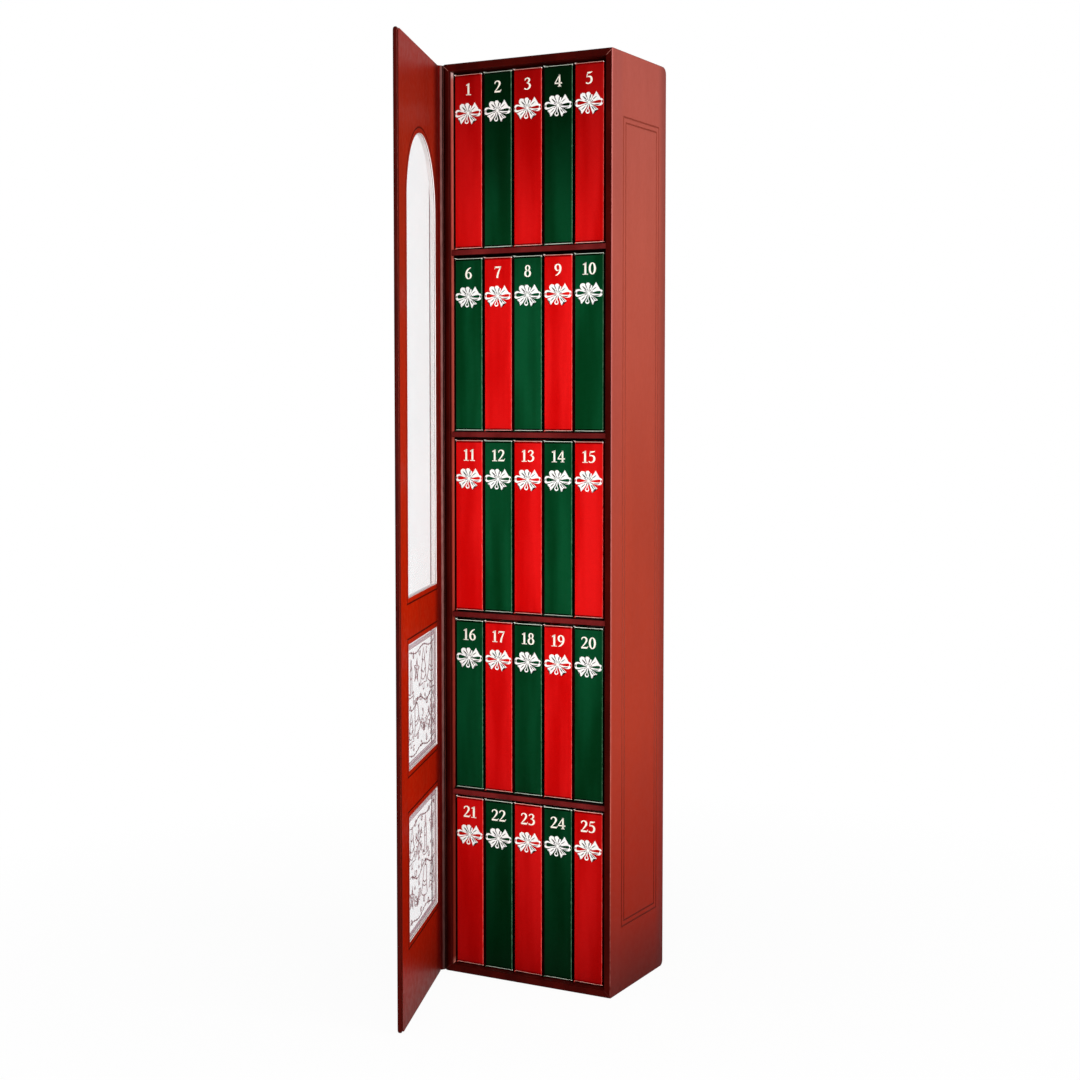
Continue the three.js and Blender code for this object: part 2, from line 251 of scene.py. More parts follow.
class Finish(Shading):
    """A material with one Principled shader, whose noises and ramps lie in the object's own coordinates."""

    def __init__(self, name, specular, sheen=0.0):
        self.material = bpy.data.materials.new(name)
        super().__init__(self.material)
        self.shader = self.nodes["Principled BSDF"]
        self.feed(self.shader.inputs["Specular IOR Level"], specular)
        self.feed(self.shader.inputs["Sheen Weight"], sheen)
        self.point = self.node("TexCoord").outputs["Object"]

    def axis(self, name):
        return self.node("SeparateXYZ", self.point).outputs[name]

    def stretched(self, *scale):
        return self.node("Mapping", self.point, None, None, scale).outputs[0]

    def noise(self, scale, detail=2.0, roughness=0.5, point=None):
        return self.node("TexNoise", point or self.point, None, scale, detail, roughness).outputs["Fac"]

    def span(self, value, low, high, to_low=0.0, to_high=1.0):
        """The value's place between low and high, smoothed, as a number between two others."""
        limits = (low, high, to_low, to_high)
        return self.node("MapRange", value, *limits, interpolation_type="SMOOTHSTEP").outputs[0]

    def spread(self, noise, *ends):
        """The middle of a noise's range, spread from 0 to 1 or between two other ends."""
        return self.span(noise, 0.3, 0.7, *ends)

    def ramp(self, value, high, *stops):
        """Colours at given shares of the way from 0 to high, blended between them."""
        node = self.node("ValToRGB", self.math("DIVIDE", value, high))
        elements = node.color_ramp.elements
        while len(elements) < len(stops):
            elements.new(1)
        for element, (share, colour) in zip(elements, stops):
            element.position = share
            element.color = linear(colour)
        return node.outputs[0]

    def by_height(self, *stops):
        """Colours at given shares of the case's height, blended between them."""
        return self.ramp(self.axis("Z"), CASE_HIGH.z, *stops)

    def mix(self, share, first, second):
        other_types = (None,) * 5
        sources = (share, *other_types, linear(first), linear(second))
        return self.node("Mix", *sources, data_type="RGBA").outputs[2]

    def colour(self, source):
        self.feed(self.shader.inputs["Base Color"], linear(source))

    def rough(self, noise, low, high):
        self.feed(self.shader.inputs["Roughness"], self.spread(noise, low, high))

    def bump(self, height, strength, distance):
        node = self.node("Bump", strength, distance)
        self.feed(node.inputs["Height"], height)
        self.feed(self.shader.inputs["Normal"], node.outputs[0])

    def see_through(self, clearness):
        self.show(clearness, self.shader.outputs[0], self.node("BsdfTransparent").outputs[0])


def mahogany_paper():
    """Satin covering paper in a mahogany red, lighter towards the top and darker towards the foot as painted
    light and shade, with a painted highlight along the front edge, and darker towards the rear edge.
    """
    f = Finish("mahogany_paper", 0.015)
    cloud = f.noise(26, 4, 0.6, f.stretched(1.6, 1.6, 0.35))
    fibre = f.noise(900, 3, 0.6, f.stretched(1, 1, 0.25))
    # Painted light and shade: lighter towards the top, darker towards the foot.
    painted_light_by_height = f.by_height(
        (0, (82, 17, 11)), (0.05, (120, 25, 13)), (0.085, (142, 30, 11)),
        (0.14, (153, 34, 14)), (0.28, (167, 52, 31)), (0.5, (168, 60, 40)),
        (0.8, (176, 82, 66)), (1, (170, 83, 72)),
    )
    clouded = f.mix(f.span(cloud, 0.35, 0.65, 0, 0.12), painted_light_by_height, (120, 40, 28))
    from_rear = f.math("SUBTRACT", CASE_HIGH.y, f.axis("Y"))
    from_front = f.math("SUBTRACT", f.axis("Y"), CASE_LOW.y)
    # Painted highlight: a paler, rosy band along the front edge, fainter near the foot.
    near_front = f.span(from_front, 9 * MM, 15 * MM, 0.2, 0)
    rosy = f.math("MULTIPLY", near_front, f.span(f.axis("Z"), 0.1, 0.4, 0.2, 1))
    margin = f.mix(rosy, clouded, (136, 74, 74))
    # Darker towards the rear edge.
    rear_darkened = f.mix(f.span(from_rear, 2 * MM, 13 * MM, 0.4, 0), margin, (60, 30, 34))
    f.colour(f.mix(f.span(fibre, 0.3, 0.75, 0, 0.1), rear_darkened, (112, 34, 24)))
    f.rough(f.noise(300, 3), 0.34, 0.44)
    f.bump(f.noise(1500, 4, 0.65), 0.1, 0.05 * MM)
    return f.material


def maroon_paper(name, dark, light):
    """The same paper in dark maroon, on the case's front edges, shelves and back. Darkest by the hinge, where
    a painted shadow of the door falls.
    """
    f = Finish(name, 0.02)
    cloud = f.noise(60, 3, 0.6, f.stretched(1, 1, 0.5))
    fibre = f.noise(900, 3, 0.6)
    base = f.mix(f.span(cloud, 0.35, 0.65), dark, light)
    fibred = f.mix(f.span(fibre, 0.3, 0.75, 0, 0.2), base, (38, 3, 3))
    # Painted shadow of the door: near black by the hinge.
    from_hinge = f.math("SUBTRACT", f.axis("X"), CASE_LOW.x)
    f.colour(f.mix(f.span(from_hinge, 0.5 * MM, 3.5 * MM, 0.9, 0), fibred, (6, 0, 0)))
    f.rough(f.noise(260, 3), 0.34, 0.46)
    f.bump(f.noise(1500, 4, 0.65), 0.12, 0.05 * MM)
    return f.material


def turned_in_paper():
    """The case's inner side walls: covering paper turned in round the front edge, dark at that edge, and
    painted near black deeper in as shade. Lighter towards the top as painted light, with painted highlights
    at its head and foot.
    """
    f = Finish("turned_in_paper", 0.04)
    fibre = f.noise(900, 3, 0.6, f.stretched(1, 1, 0.25))
    # Painted light: darker low down, lighter high up, with pale painted highlights at the very foot and head.
    painted_light_by_height = f.by_height(
        (0.009, (222, 140, 124)), (0.014, (130, 42, 30)), (0.2, (136, 42, 32)),
        (0.5, (186, 72, 58)), (0.93, (206, 96, 84)), (0.984, (222, 118, 106)),
        (0.988, (255, 214, 208)),
    )
    depth = f.math("SUBTRACT", f.axis("Y"), CASE_LOW.y)
    rosy = f.mix(f.span(depth, DARK_TURN_IN, TURN_IN), (60, 8, 6), painted_light_by_height)
    # Painted shade: near black behind the turned-in strip.
    shaded_behind = f.mix(f.span(depth, TURN_IN + 1.4 * MM, TURN_IN + 1.7 * MM), rosy, (10, 1, 1))
    f.colour(f.mix(f.span(fibre, 0.3, 0.75, 0, 0.2), shaded_behind, (60, 14, 12)))
    f.rough(f.noise(260, 3), 0.4, 0.52)
    return f.material


def rubbed_corner():
    """A painted highlight on the rounded front edges of the covering, darker towards the foot as painted
    shade.
    """
    f = Finish("rubbed_corner", 0.06)
    mottle = f.noise(420, 3, 0.6)
    painted_light_by_height = f.by_height(
        (0, (70, 20, 16)), (0.06, (104, 36, 28)), (0.2, (160, 72, 58)),
        (0.6, (160, 84, 78)), (1, (176, 98, 92)),
    )
    f.colour(f.mix(f.spread(mottle, 0, 0.2), painted_light_by_height, (186, 112, 106)))
    f.rough(mottle, 0.45, 0.55)
    return f.material


def door_paper():
    """The door's inner covering: a deeper, warmer red with a soft sheen, lightest a little under mid-height
    and darker towards its foot, top and hinge as painted shade.
    """
    f = Finish("door_paper", 0.013)
    cloud = f.noise(22, 4, 0.6, f.stretched(1.4, 1.4, 0.4))
    fibre = f.noise(900, 3, 0.6, f.stretched(1, 1, 0.25))
    # Painted light and shade by height.
    painted_light_by_height = f.by_height(
        (0, (98, 24, 13)), (0.07, (154, 24, 3)), (0.2, (178, 27, 2)),
        (0.45, (192, 35, 4)), (0.8, (176, 48, 25)), (1, (152, 32, 17)),
    )
    # Painted shade towards the hinge.
    from_hinge = f.math("SUBTRACT", f.axis("X"), CASE_LOW.x)
    shaded = f.mix(f.span(from_hinge, 0.5 * MM, 6 * MM, 0.85, 0), painted_light_by_height, (76, 3, 2))
    base = f.mix(f.span(cloud, 0.35, 0.65, 0, 0.25), shaded, (116, 20, 8))
    f.colour(f.mix(f.span(fibre, 0.3, 0.75, 0, 0.15), base, (100, 16, 8)))
    f.rough(f.noise(300, 3), 0.36, 0.46)
    f.bump(f.noise(1500, 4, 0.65), 0.1, 0.05 * MM)
    return f.material


def pressed_line(name, dark, light, low):
    """The bottom of a debossed line, darker than the paper round it, and darker still near the foot as
    painted shade.
    """
    f = Finish(name, 0.04)
    line_tone = f.mix(f.noise(1200, 3), dark, light)
    # Painted shade: the low colour near the foot.
    f.colour(f.mix(f.span(f.axis("Z"), 0.04, 0.2), low, line_tone))
    f.rough(f.noise(700, 3), 0.5, 0.62)
    return f.material


def cut_edge():
    """The pale cut edge of the board round an opening of the door."""
    f = Finish("cut_edge", 0.2)
    grain = f.noise(1400, 3, 0.6, f.stretched(1, 4, 1))
    f.colour(f.mix(grain, (246, 236, 234), (254, 250, 248)))
    f.rough(grain, 0.6, 0.75)
    return f.material


def hinge_paper(name, dark, light):
    """The uncoated paper of the hinge, darker towards the foot as painted shade."""
    f = Finish(name, 0.02)
    fibre = f.noise(700, 4, 0.65, f.stretched(1, 1, 0.2))
    mottled_tone = f.mix(f.spread(fibre), dark, light)
    f.colour(f.mix(f.span(f.axis("Z"), 0, 0.3, 0.55, 0), mottled_tone, (30, 6, 5)))
    f.rough(fibre, 0.5, 0.66)
    f.bump(f.noise(1300, 4, 0.7), 0.25, 0.08 * MM)
    return f.material


# Shares of the joints' depth, each with the strength of the painted shadow there, and shares of the case's
# height, each with the covering's painted light there
JOINT_SHADOW_TONES = ((0.03, 0), (0.06, 0.95), (0.4, 0.95), (1, 0))
COVER_LIGHT_BY_HEIGHT = (
    (0, 0.42), (0.05, 0.55), (0.14, 0.74), (0.28, 0.9), (0.45, 1), (0.74, 1), (0.84, 0.84), (0.97, 0.46),
)


def book_covering(name, deep, bright, shade, fall):
    """Laminated paper of a book cover: cloudy, with a painted shadow on its sides near the spine, and darker
    towards the case's head and foot as painted shade.
    """
    f = Finish(name, 0.012)
    cloud = f.noise(90, 2, 0.5, f.stretched(1, 1, 0.12))
    weave = f.noise(2200, 2, 0.5)
    base = f.mix(f.spread(cloud), deep, bright)
    # Painted light and shade by the book's height in the case.
    shade_by_height = f.by_height(*COVER_LIGHT_BY_HEIGHT)
    toned = f.mix(f.math("POWER", shade_by_height, fall), shade, base)
    woven = f.mix(f.span(weave, 0.35, 0.75, 0, 0.08), toned, shade)
    # Painted shadow between neighbouring books, on the sides near the spine.
    depth = f.math("SUBTRACT", f.axis("Y"), SPINE_FACE)
    joint_shadow = f.ramp(depth, JOINT_SHADE, *JOINT_SHADOW_TONES)
    f.colour(f.mix(joint_shadow, woven, (6, 1, 1)))
    f.rough(f.noise(240, 3), 0.24, 0.32)
    f.bump(weave, 0.08, 0.03 * MM)
    return f.material


def polished_edge(name, dark, light, gloss):
    """A rounded edge of a book cover in a tone of its own: a painted highlight or painted shade, with its own
    gloss and low roughness.
    """
    f = Finish(name, gloss)
    mottle = f.noise(420, 3, 0.6)
    f.colour(f.mix(f.spread(mottle), dark, light))
    f.rough(mottle, 0.14, 0.2)
    return f.material


def page_paper():
    """Cream pages, seen as fine layers on the block's edges."""
    f = Finish("page_paper", 0.25)
    layers = f.noise(900, 3, 0.7, f.stretched(9, 0.15, 0.15))
    f.colour(f.mix(f.spread(layers), (206, 193, 160), (243, 235, 214)))
    f.rough(layers, 0.75, 0.9)
    f.bump(layers, 0.35, 0.12 * MM)
    return f.material


def headband_cloth():
    """Striped silk of the headbands."""
    f = Finish("headband_cloth", 0.3, sheen=0.3)
    stripe = f.math("SINE", f.math("MULTIPLY", f.axis("X"), 2 * math.pi / HEADBAND_STRIPE))
    f.colour(f.mix(f.span(stripe, -0.3, 0.3), (196, 26, 26), (244, 238, 220)))
    f.rough(f.noise(1500, 2), 0.55, 0.7)
    f.bump(stripe, 0.4, 0.1 * MM)
    return f.material


def ribbon_white():
    """White foil of the bows, with faint creases."""
    f = Finish("ribbon_white", 0.25)
    crease = f.noise(620, 5, 0.7)
    f.colour(f.mix(f.span(crease, 0.3, 0.5), (230, 231, 228), (248, 250, 247)))
    f.rough(crease, 0.36, 0.5)
    return f.material


def frosted_sheet():
    """The pale film behind the openings: matt white, and letting part of what lies behind it show."""
    f = Finish("frosted_sheet", 0.3)
    cloud = f.noise(34, 4, 0.6)
    f.colour(f.mix(f.spread(cloud), (240, 246, 250), (247, 251, 254)))
    f.rough(f.noise(700, 3), 0.42, 0.55)
    f.bump(f.noise(1800, 3), 0.06, 0.03 * MM)
    f.see_through(FILM_CLEARNESS)
    return f.material


def printed(name, specular, dark, light, tones, grain, roughness, clearness=0.0):
    """Foil or ink, uneven in tone and in roughness by two noises given by their scale and detail."""
    f = Finish(name, specular)
    f.colour(f.mix(f.noise(*tones), dark, light))
    f.rough(f.noise(*grain), *roughness)
    if clearness:
        f.see_through(clearness)
    return f.material


MAHOGANY = mahogany_paper()
MAROON = maroon_paper("maroon_paper", (52, 4, 2), (68, 8, 4))
SHELF_MAROON = maroon_paper("shelf_paper", (92, 22, 22), (114, 33, 32))
# Near-black painted shade for the shelves' tops and undersides.
SHELF_SHADE = maroon_paper("painted_shelf_shade", (12, 2, 2), (20, 4, 4))
TURNED_IN = turned_in_paper()
DOOR_RED = door_paper()
PRESSED = pressed_line("pressed_line", (126, 50, 38), (150, 66, 52), (96, 24, 15))
DOOR_LINE = pressed_line("pressed_door_line", (78, 13, 6), (98, 19, 10), (70, 12, 6))
FRONT_HIGHLIGHT = rubbed_corner()
PAPER_JOINT = pressed_line("paper_joint", (132, 74, 66), (164, 104, 94), (74, 26, 22))
CUT_EDGE = cut_edge()
# The hinge's pale painted highlight, the near-black painted shade in its bend, and its own dark paper.
HINGE_HIGHLIGHT = hinge_paper("hinge_paper", (118, 74, 70), (148, 100, 94))
HINGE_SHADE = hinge_paper("hinge_paper_fold", (12, 3, 3), (22, 6, 5))
HINGE_DARK = hinge_paper("hinge_paper_dark", (92, 6, 4), (112, 14, 10))
SHADED_EDGE = polished_edge("book_shaded_edge", (8, 2, 2), (16, 4, 3), 0.02)
# Coverings: the base paper, then painted highlights and painted shade for the rounded edges
RED_COVERING = (
    book_covering("red_cloth", (200, 7, 7), (223, 22, 22), (78, 0, 0), 1),
    polished_edge("red_painted_shoulder_highlight", (212, 44, 40), (232, 84, 76), 0.15),
    polished_edge("red_painted_rim_highlight", (255, 166, 150), (255, 200, 188), 0.4),
    polished_edge("red_painted_rim_shade", (112, 0, 1), (136, 2, 2), 0.02),
    polished_edge("red_painted_corner_highlight", (252, 226, 218), (255, 246, 240), 0.5),
    SHADED_EDGE,
)
GREEN_COVERING = (
    book_covering("green_cloth", (2, 54, 24), (8, 74, 41), (0, 9, 0), 2.3),
    polished_edge("green_painted_shoulder_highlight", (40, 88, 58), (78, 124, 94), 0.15),
    polished_edge("green_painted_rim_highlight", (216, 238, 216), (238, 250, 234), 0.4),
    polished_edge("green_painted_rim_shade", (0, 12, 2), (1, 20, 6), 0.02),
    polished_edge("green_painted_corner_highlight", (236, 246, 232), (250, 255, 246), 0.5),
    SHADED_EDGE,
)
PAGES = page_paper()
HEADBAND = headband_cloth()
IVORY = printed("stamp_ivory", 0.25, (250, 246, 226), (255, 253, 242), (1600, 3), (900, 3), (0.38, 0.5))
RIBBON = ribbon_white()
FOLD = printed("fold_line", 0.3, (22, 24, 22), (46, 46, 44), (900, 2), (900, 2), (0.45, 0.6))
SHEET = frosted_sheet()
INK_GRAIN = ((500, 3), (900, 2), (0.5, 0.62))
INK = printed("print_ink", 0.3, (134, 98, 104), (164, 130, 134), *INK_GRAIN)
PRINT_BORDER = printed("print_border", 0.3, (226, 188, 206), (238, 206, 220), *INK_GRAIN, BORDER_CLEARNESS)


# Making and finishing pieces

SOFT_ANGLE = math.radians(40)
# A pressed line's place in the materials of the case and of the door's lining
PRESSED_LINE = 2
NEAR = 0.02 * MM
# Sizes of a normal's part along an axis, by which the faces of rounded edges are told apart
SLIGHTLY_TILTED, TILTED, TURNED_AWAY, HALF_TURNED, STEEP = 0.1, 0.3, 0.35, 0.5, 0.6
LEVEL, NEARLY_TURNED, ALONG_X, ALONG_Y = 0.7, 0.86, 0.97, 0.98


def linked(name, data):
    """A new object in the scene: a mesh, a light or a camera."""
    made = bpy.data.objects.new(name, data)
    scene.collection.objects.link(made)
    return made


def add_object(name, bm, materials):
    mesh = bpy.data.meshes.new(name)
    bm.to_mesh(mesh)
    bm.free()
    for material in materials:
        mesh.materials.append(material)
    return linked(name, mesh)


def finished(name, bm, body, materials, replaces=(), place=None):
    """Turns a bmesh into a piece that rides on a body, with flat faces kept flat beside their round edges."""
    if place is not None:
        bmesh.ops.transform(bm, matrix=place, verts=bm.verts)
    for face in bm.faces:
        face.smooth = True
    for edge in bm.edges:
        edge.smooth = len(edge.link_faces) == 2 and edge.calc_face_angle(0) < SOFT_ANGLE
    piece = add_object(name, bm, materials)
    normals = piece.modifiers.new("even_normals", "WEIGHTED_NORMAL")
    normals.keep_sharp = True
    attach(piece, body)
    if replaces:
        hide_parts(*replaces)


def block(bm, low, high):
    """A box between two corners."""
    low, high = Vector(low), Vector(high)
    verts = bmesh.ops.create_cube(bm, size=1)["verts"]
    bmesh.ops.scale(bm, vec=high - low, verts=verts)
    bmesh.ops.translate(bm, vec=(low + high) / 2, verts=verts)


def rectangle(left, right, low, high, y=0.0):
    return [(left, y, low), (right, y, low), (right, y, high), (left, y, high)]


def turn_outward(bm):
    bmesh.ops.recalc_face_normals(bm, faces=bm.faces)


def carry_on(bm, made, way):
    """Moves the vertices that an extrusion made."""
    fresh = [item for item in made["geom"] if isinstance(item, bmesh.types.BMVert)]
    bmesh.ops.translate(bm, verts=fresh, vec=way)


def edges_at(bm, test):
    """The edges whose two ends both pass a test."""
    return [edge for edge in bm.edges if all(test(vert.co) for vert in edge.verts)]


def near(first, second):
    return abs(first - second) < NEAR


def round_edges(bm, edges, radius, segments):
    bmesh.ops.bevel(
        bm, geom=edges, offset=radius, offset_type="OFFSET", segments=segments,
        profile=0.5, affect="EDGES", clamp_overlap=False, material=-1,
    )


def round_corners(bm, verts, radius, segments):
    """Rounds corners of a flat face."""
    bmesh.ops.bevel(
        bm, geom=verts, offset=radius, offset_type="OFFSET", segments=segments,
        profile=0.5, affect="VERTICES", clamp_overlap=False, material=-1,
    )


def inset(bm, face, thickness, depth=0.0):
    """Insets one face in place, its own rim included, and raises or sinks it."""
    bmesh.ops.inset_region(
        bm, faces=[face], thickness=thickness, depth=depth, use_even_offset=True, use_boundary=True,
    )


def soften(bm, face, radius, steps=4):
    """Rounds the rim of a flat face: small insets that climb a quarter circle along its normal."""
    for step in range(steps):
        start, end = (math.pi / 2 * turn / steps for turn in (step, step + 1))
        rise = radius * (math.sin(end) - math.sin(start))
        inset(bm, face, radius * (math.cos(start) - math.cos(end)), rise)


def flat_face(bm, corners, facing):
    """A flat face through corners, turned to face the given way."""
    face = bm.faces.new([bm.verts.new(corner) for corner in corners])
    face.normal_update()
    if face.normal.dot(Vector(facing)) < 0:
        face.normal_flip()
    return face


def opened(bm, face):
    """Takes a face away and leaves its outline, which is returned."""
    outline = list(face.edges)
    bmesh.ops.delete(bm, geom=[face], context="FACES_ONLY")
    return outline


def join(bm, first, second):
    bmesh.ops.bridge_loops(bm, edges=first + second)


def largest(faces):
    return max(faces, key=lambda face: face.calc_area())


def press_line(bm, face):
    """Presses one line into a face, just inside its outline, and keeps the face inside the line."""
    known = set(bm.faces)
    inset(bm, face, DEBOSS_SLOPE, -DEBOSS_DEPTH)
    inset(bm, face, DEBOSS_WIDTH - 2 * DEBOSS_SLOPE)
    inset(bm, face, DEBOSS_SLOPE, DEBOSS_DEPTH)
    for made in bm.faces:
        if made not in known:
            made.material_index = PRESSED_LINE


def cut_out(bm, face, low, high):
    """Cuts an upright rectangle out of a flat face, and returns it."""
    pieces = [face]
    for corner in (Vector(low), Vector(high)):
        for axis in range(3):
            if near(low[axis], high[axis]):
                continue
            normal = Vector([float(axis == other) for other in range(3)])
            geom = [item for piece in pieces for item in (piece, *piece.edges, *piece.verts)]
            cut = bmesh.ops.bisect_plane(
                bm, geom=list(dict.fromkeys(geom)), plane_co=corner, plane_no=normal,
            )
            pieces = [item for item in cut["geom"] if isinstance(item, bmesh.types.BMFace)]
    middle = (Vector(low) + Vector(high)) / 2
    return min(pieces, key=lambda piece: (piece.calc_center_median() - middle).length)


def thickened(bm, near_y, far_y):
    """Gives a flat sheet its thickness, from one y to another."""
    bmesh.ops.translate(bm, verts=bm.verts, vec=(0, near_y, 0))
    carry_on(bm, bmesh.ops.extrude_face_region(bm, geom=bm.faces[:]), (0, far_y - near_y, 0))
    turn_outward(bm)


def smooth_path(nodes, steps=5):
    """A smooth curve through nodes (x, z, width), as the Catmull-Rom spline that they span."""
    if len(nodes) == 2:
        return [Vector(node) for node in nodes]
    points = [Vector(node) for node in nodes]
    points = [2 * points[0] - points[1], *points, 2 * points[-1] - points[-2]]
    path = []
    for a, b, c, d in zip(points, points[1:], points[2:], points[3:]):
        for step in range(steps):
            t = step / steps
            path.append(
                0.5 * (
                    2 * b + (c - a) * t + (2 * a - 5 * b + 4 * c - d) * t ** 2
                    + (3 * b - a - 3 * c + d) * t ** 3
                )
            )
    path.append(points[-2])
    return path


def stroke(bm, nodes, closed=False, notch=0.0, level=0.0, material=0):
    """A flat band along nodes (x, z, width), lying in the plane y = level. A notch cuts into its far end."""
    path = [Vector(node) for node in nodes] if closed else smooth_path(nodes)
    count = len(path)
    pairs = []
    for i, node in enumerate(path):
        before = path[i - 1] if closed or i else path[0]
        after = path[(i + 1) % count] if closed or i < count - 1 else path[-1]
        along = (after - before).to_2d().normalized()
        across = Vector((-along.y, along.x)) * node.z / 2
        pairs.append([
            bm.verts.new((node.x + sign * across.x, level, node.y + sign * across.y)) for sign in (1, -1)
        ])
    spans = list(zip(pairs, pairs[1:] + pairs[:1]))
    for number, ((left, right), (next_left, next_right)) in enumerate(spans if closed else spans[:-1]):
        outline = [left, right, next_right, next_left]
        if notch and number == count - 2:
            tip = (next_left.co + next_right.co) / 2
            back = tip + ((left.co + right.co) / 2 - tip).normalized() * notch
            outline.insert(3, bm.verts.new(back))
        bm.faces.new(outline).material_index = material


# Case


CASE_MATERIALS = (MAHOGANY, MAROON, PRESSED, FRONT_HIGHLIGHT, TURNED_IN)


def case_shell():
    """Four walls folded from one board: dark at the front edges, rounded at the back, with framed sides."""
    bm = bmesh.new()
    end_x = CASE_HIGH.x - CASE_EDGE
    corners = (
        (CASE_LOW.y, 0, FRONT_CORNER),
        (CASE_HIGH.y, 0, BACK_BOTTOM_CORNER),
        (CASE_HIGH.y, CASE_HIGH.z, BACK_TOP_CORNER),
        (CASE_LOW.y, CASE_HIGH.z, FRONT_CORNER),
    )
    flat_face(bm, [(-end_x, y, z) for y, z, _ in corners], (-1, 0, 0))
    for y, z, radius in corners:
        place = Vector((-end_x, y, z))
        round_corners(bm, [v for v in bm.verts if (v.co - place).length < NEAR], radius, 8)
    carry_on(bm, bmesh.ops.extrude_face_region(bm, geom=bm.faces[:]), (2 * end_x, 0, 0))
    turn_outward(bm)
    for side in (-1, 1):
        end = largest(face for face in bm.faces if near(face.calc_center_median().x, side * end_x))
        soften(bm, end, CASE_EDGE)

    inner_x = CASE_HIGH.x - SIDE_WALL
    loops = []
    for y in (CASE_LOW.y, CASE_HIGH.y):
        field = largest(face for face in bm.faces if near(face.calc_center_median().y, y))
        loops.append(opened(bm, cut_out(bm, field, (-inner_x, y, DECK), (inner_x, y, CASE_HIGH.z - DECK))))
    join(bm, *loops)
    turn_outward(bm)
    for face in bm.faces:
        face.normal_update()
        middle = face.calc_center_median()
        at_front = middle.y < CASE_LOW.y + FRONT_CORNER and abs(face.normal.x) < ALONG_X
        deck_inside = abs(middle.x) < inner_x and DECK / 2 < middle.z < CASE_HIGH.z - DECK / 2
        material = MAHOGANY
        if at_front:
            # The front edges' side roundings take a painted highlight.
            material = FRONT_HIGHLIGHT if abs(face.normal.x) > TILTED else MAROON
        # The decks' inner faces take the dark maroon as painted shade.
        elif deck_inside and abs(face.normal.z) > HALF_TURNED:
            material = MAROON
        elif abs(middle.x) < inner_x + SEAT and abs(face.normal.x) > HALF_TURNED:
            material = TURNED_IN
        face.material_index = CASE_MATERIALS.index(material)
    rim = edges_at(
        bm,
        lambda co: near(co.y, CASE_LOW.y)
        and abs(co.x) < inner_x + CASE_RIM / 4
        and DECK - CASE_RIM / 4 < co.z < CASE_HIGH.z - DECK + CASE_RIM / 4,
    )
    round_edges(bm, rim, CASE_RIM, 2)

    for side in (-1, 1):
        x = side * CASE_HIGH.x
        wall = largest(face for face in bm.faces if near(face.calc_center_median().x, x))
        low = (x, CASE_LOW.y + FRAME_FRONT_MARGIN, FRAME_BOTTOM_MARGIN)
        high = (x, CASE_HIGH.y - FRAME_BACK_MARGIN, CASE_HIGH.z - FRAME_TOP_MARGIN)
        field = cut_out(bm, wall, low, high)
        press_line(bm, field)
        inset(bm, field, FRAME_LINE_SPACING - DEBOSS_WIDTH)
        press_line(bm, field)
    finished(
        "case", bm, "box", CASE_MATERIALS, ("case_shell",),
    )


def mitre_lines():
    """The pale joints of the covering paper at the four corners of the case's front."""
    bm = bmesh.new()
    out_x, in_x = CASE_HIGH.x - CASE_EDGE, CASE_HIGH.x - SIDE_WALL + CASE_RIM
    out_z, in_z = FRONT_CORNER, DECK - CASE_RIM
    for side in (-1, 1):
        for outer, inner in ((out_z, in_z), (CASE_HIGH.z - out_z, CASE_HIGH.z - in_z)):
            stroke(bm, [(side * out_x, outer, MITRE_LINE), (side * in_x, inner, MITRE_LINE)])
    thickened(bm, CASE_LOW.y - MITRE_RISE, CASE_LOW.y + MITRE_DEPTH)
    finished("mitre_lines", bm, "box", (PAPER_JOINT,))


def back_board():
    bm = bmesh.new()
    reach = Vector((SEAT, 0, SEAT))
    block(bm, BACK_LOW - reach, BACK_HIGH + reach)
    round_edges(bm, edges_at(bm, lambda co: near(co.y, BACK_HIGH.y)), BACK_EDGE, 2)
    finished("back", bm, "box", (MAROON,), ("back_board",))


def shelf(number):
    """A shelf board whose covering turns softly round its front edge, its top and underside painted near
    black as shade.
    """
    low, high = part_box(f"shelf_{number}")
    bm = bmesh.new()
    block(bm, low, high)
    nose = [e for e in edges_at(bm, lambda co: near(co.y, low.y)) if near(*(v.co.z for v in e.verts))]
    round_edges(bm, nose, SHELF_NOSE, 4)
    for face in bm.faces:
        face.normal_update()
        # Level faces take the painted shade.
        face.material_index = int(abs(face.normal.z) > LEVEL)
    finished(
        f"shelf_board_{number}", bm, "box", (SHELF_MAROON, SHELF_SHADE), (f"shelf_{number}",),
    )


# Books


# Materials of a cover after its covering, in the order of the lists of coverings: painted highlights and
# painted shade on its rounded edges
SHOULDER_HIGHLIGHT, RIM_HIGHLIGHT, RIM_SHADE, CORNER_HIGHLIGHT, SHADED = range(1, 6)


def cut_through(bm, point, normal):
    """Cuts every face along a plane and keeps both sides."""
    geom = bm.verts[:] + bm.edges[:] + bm.faces[:]
    bmesh.ops.bisect_plane(bm, geom=geom, plane_co=point, plane_no=normal)


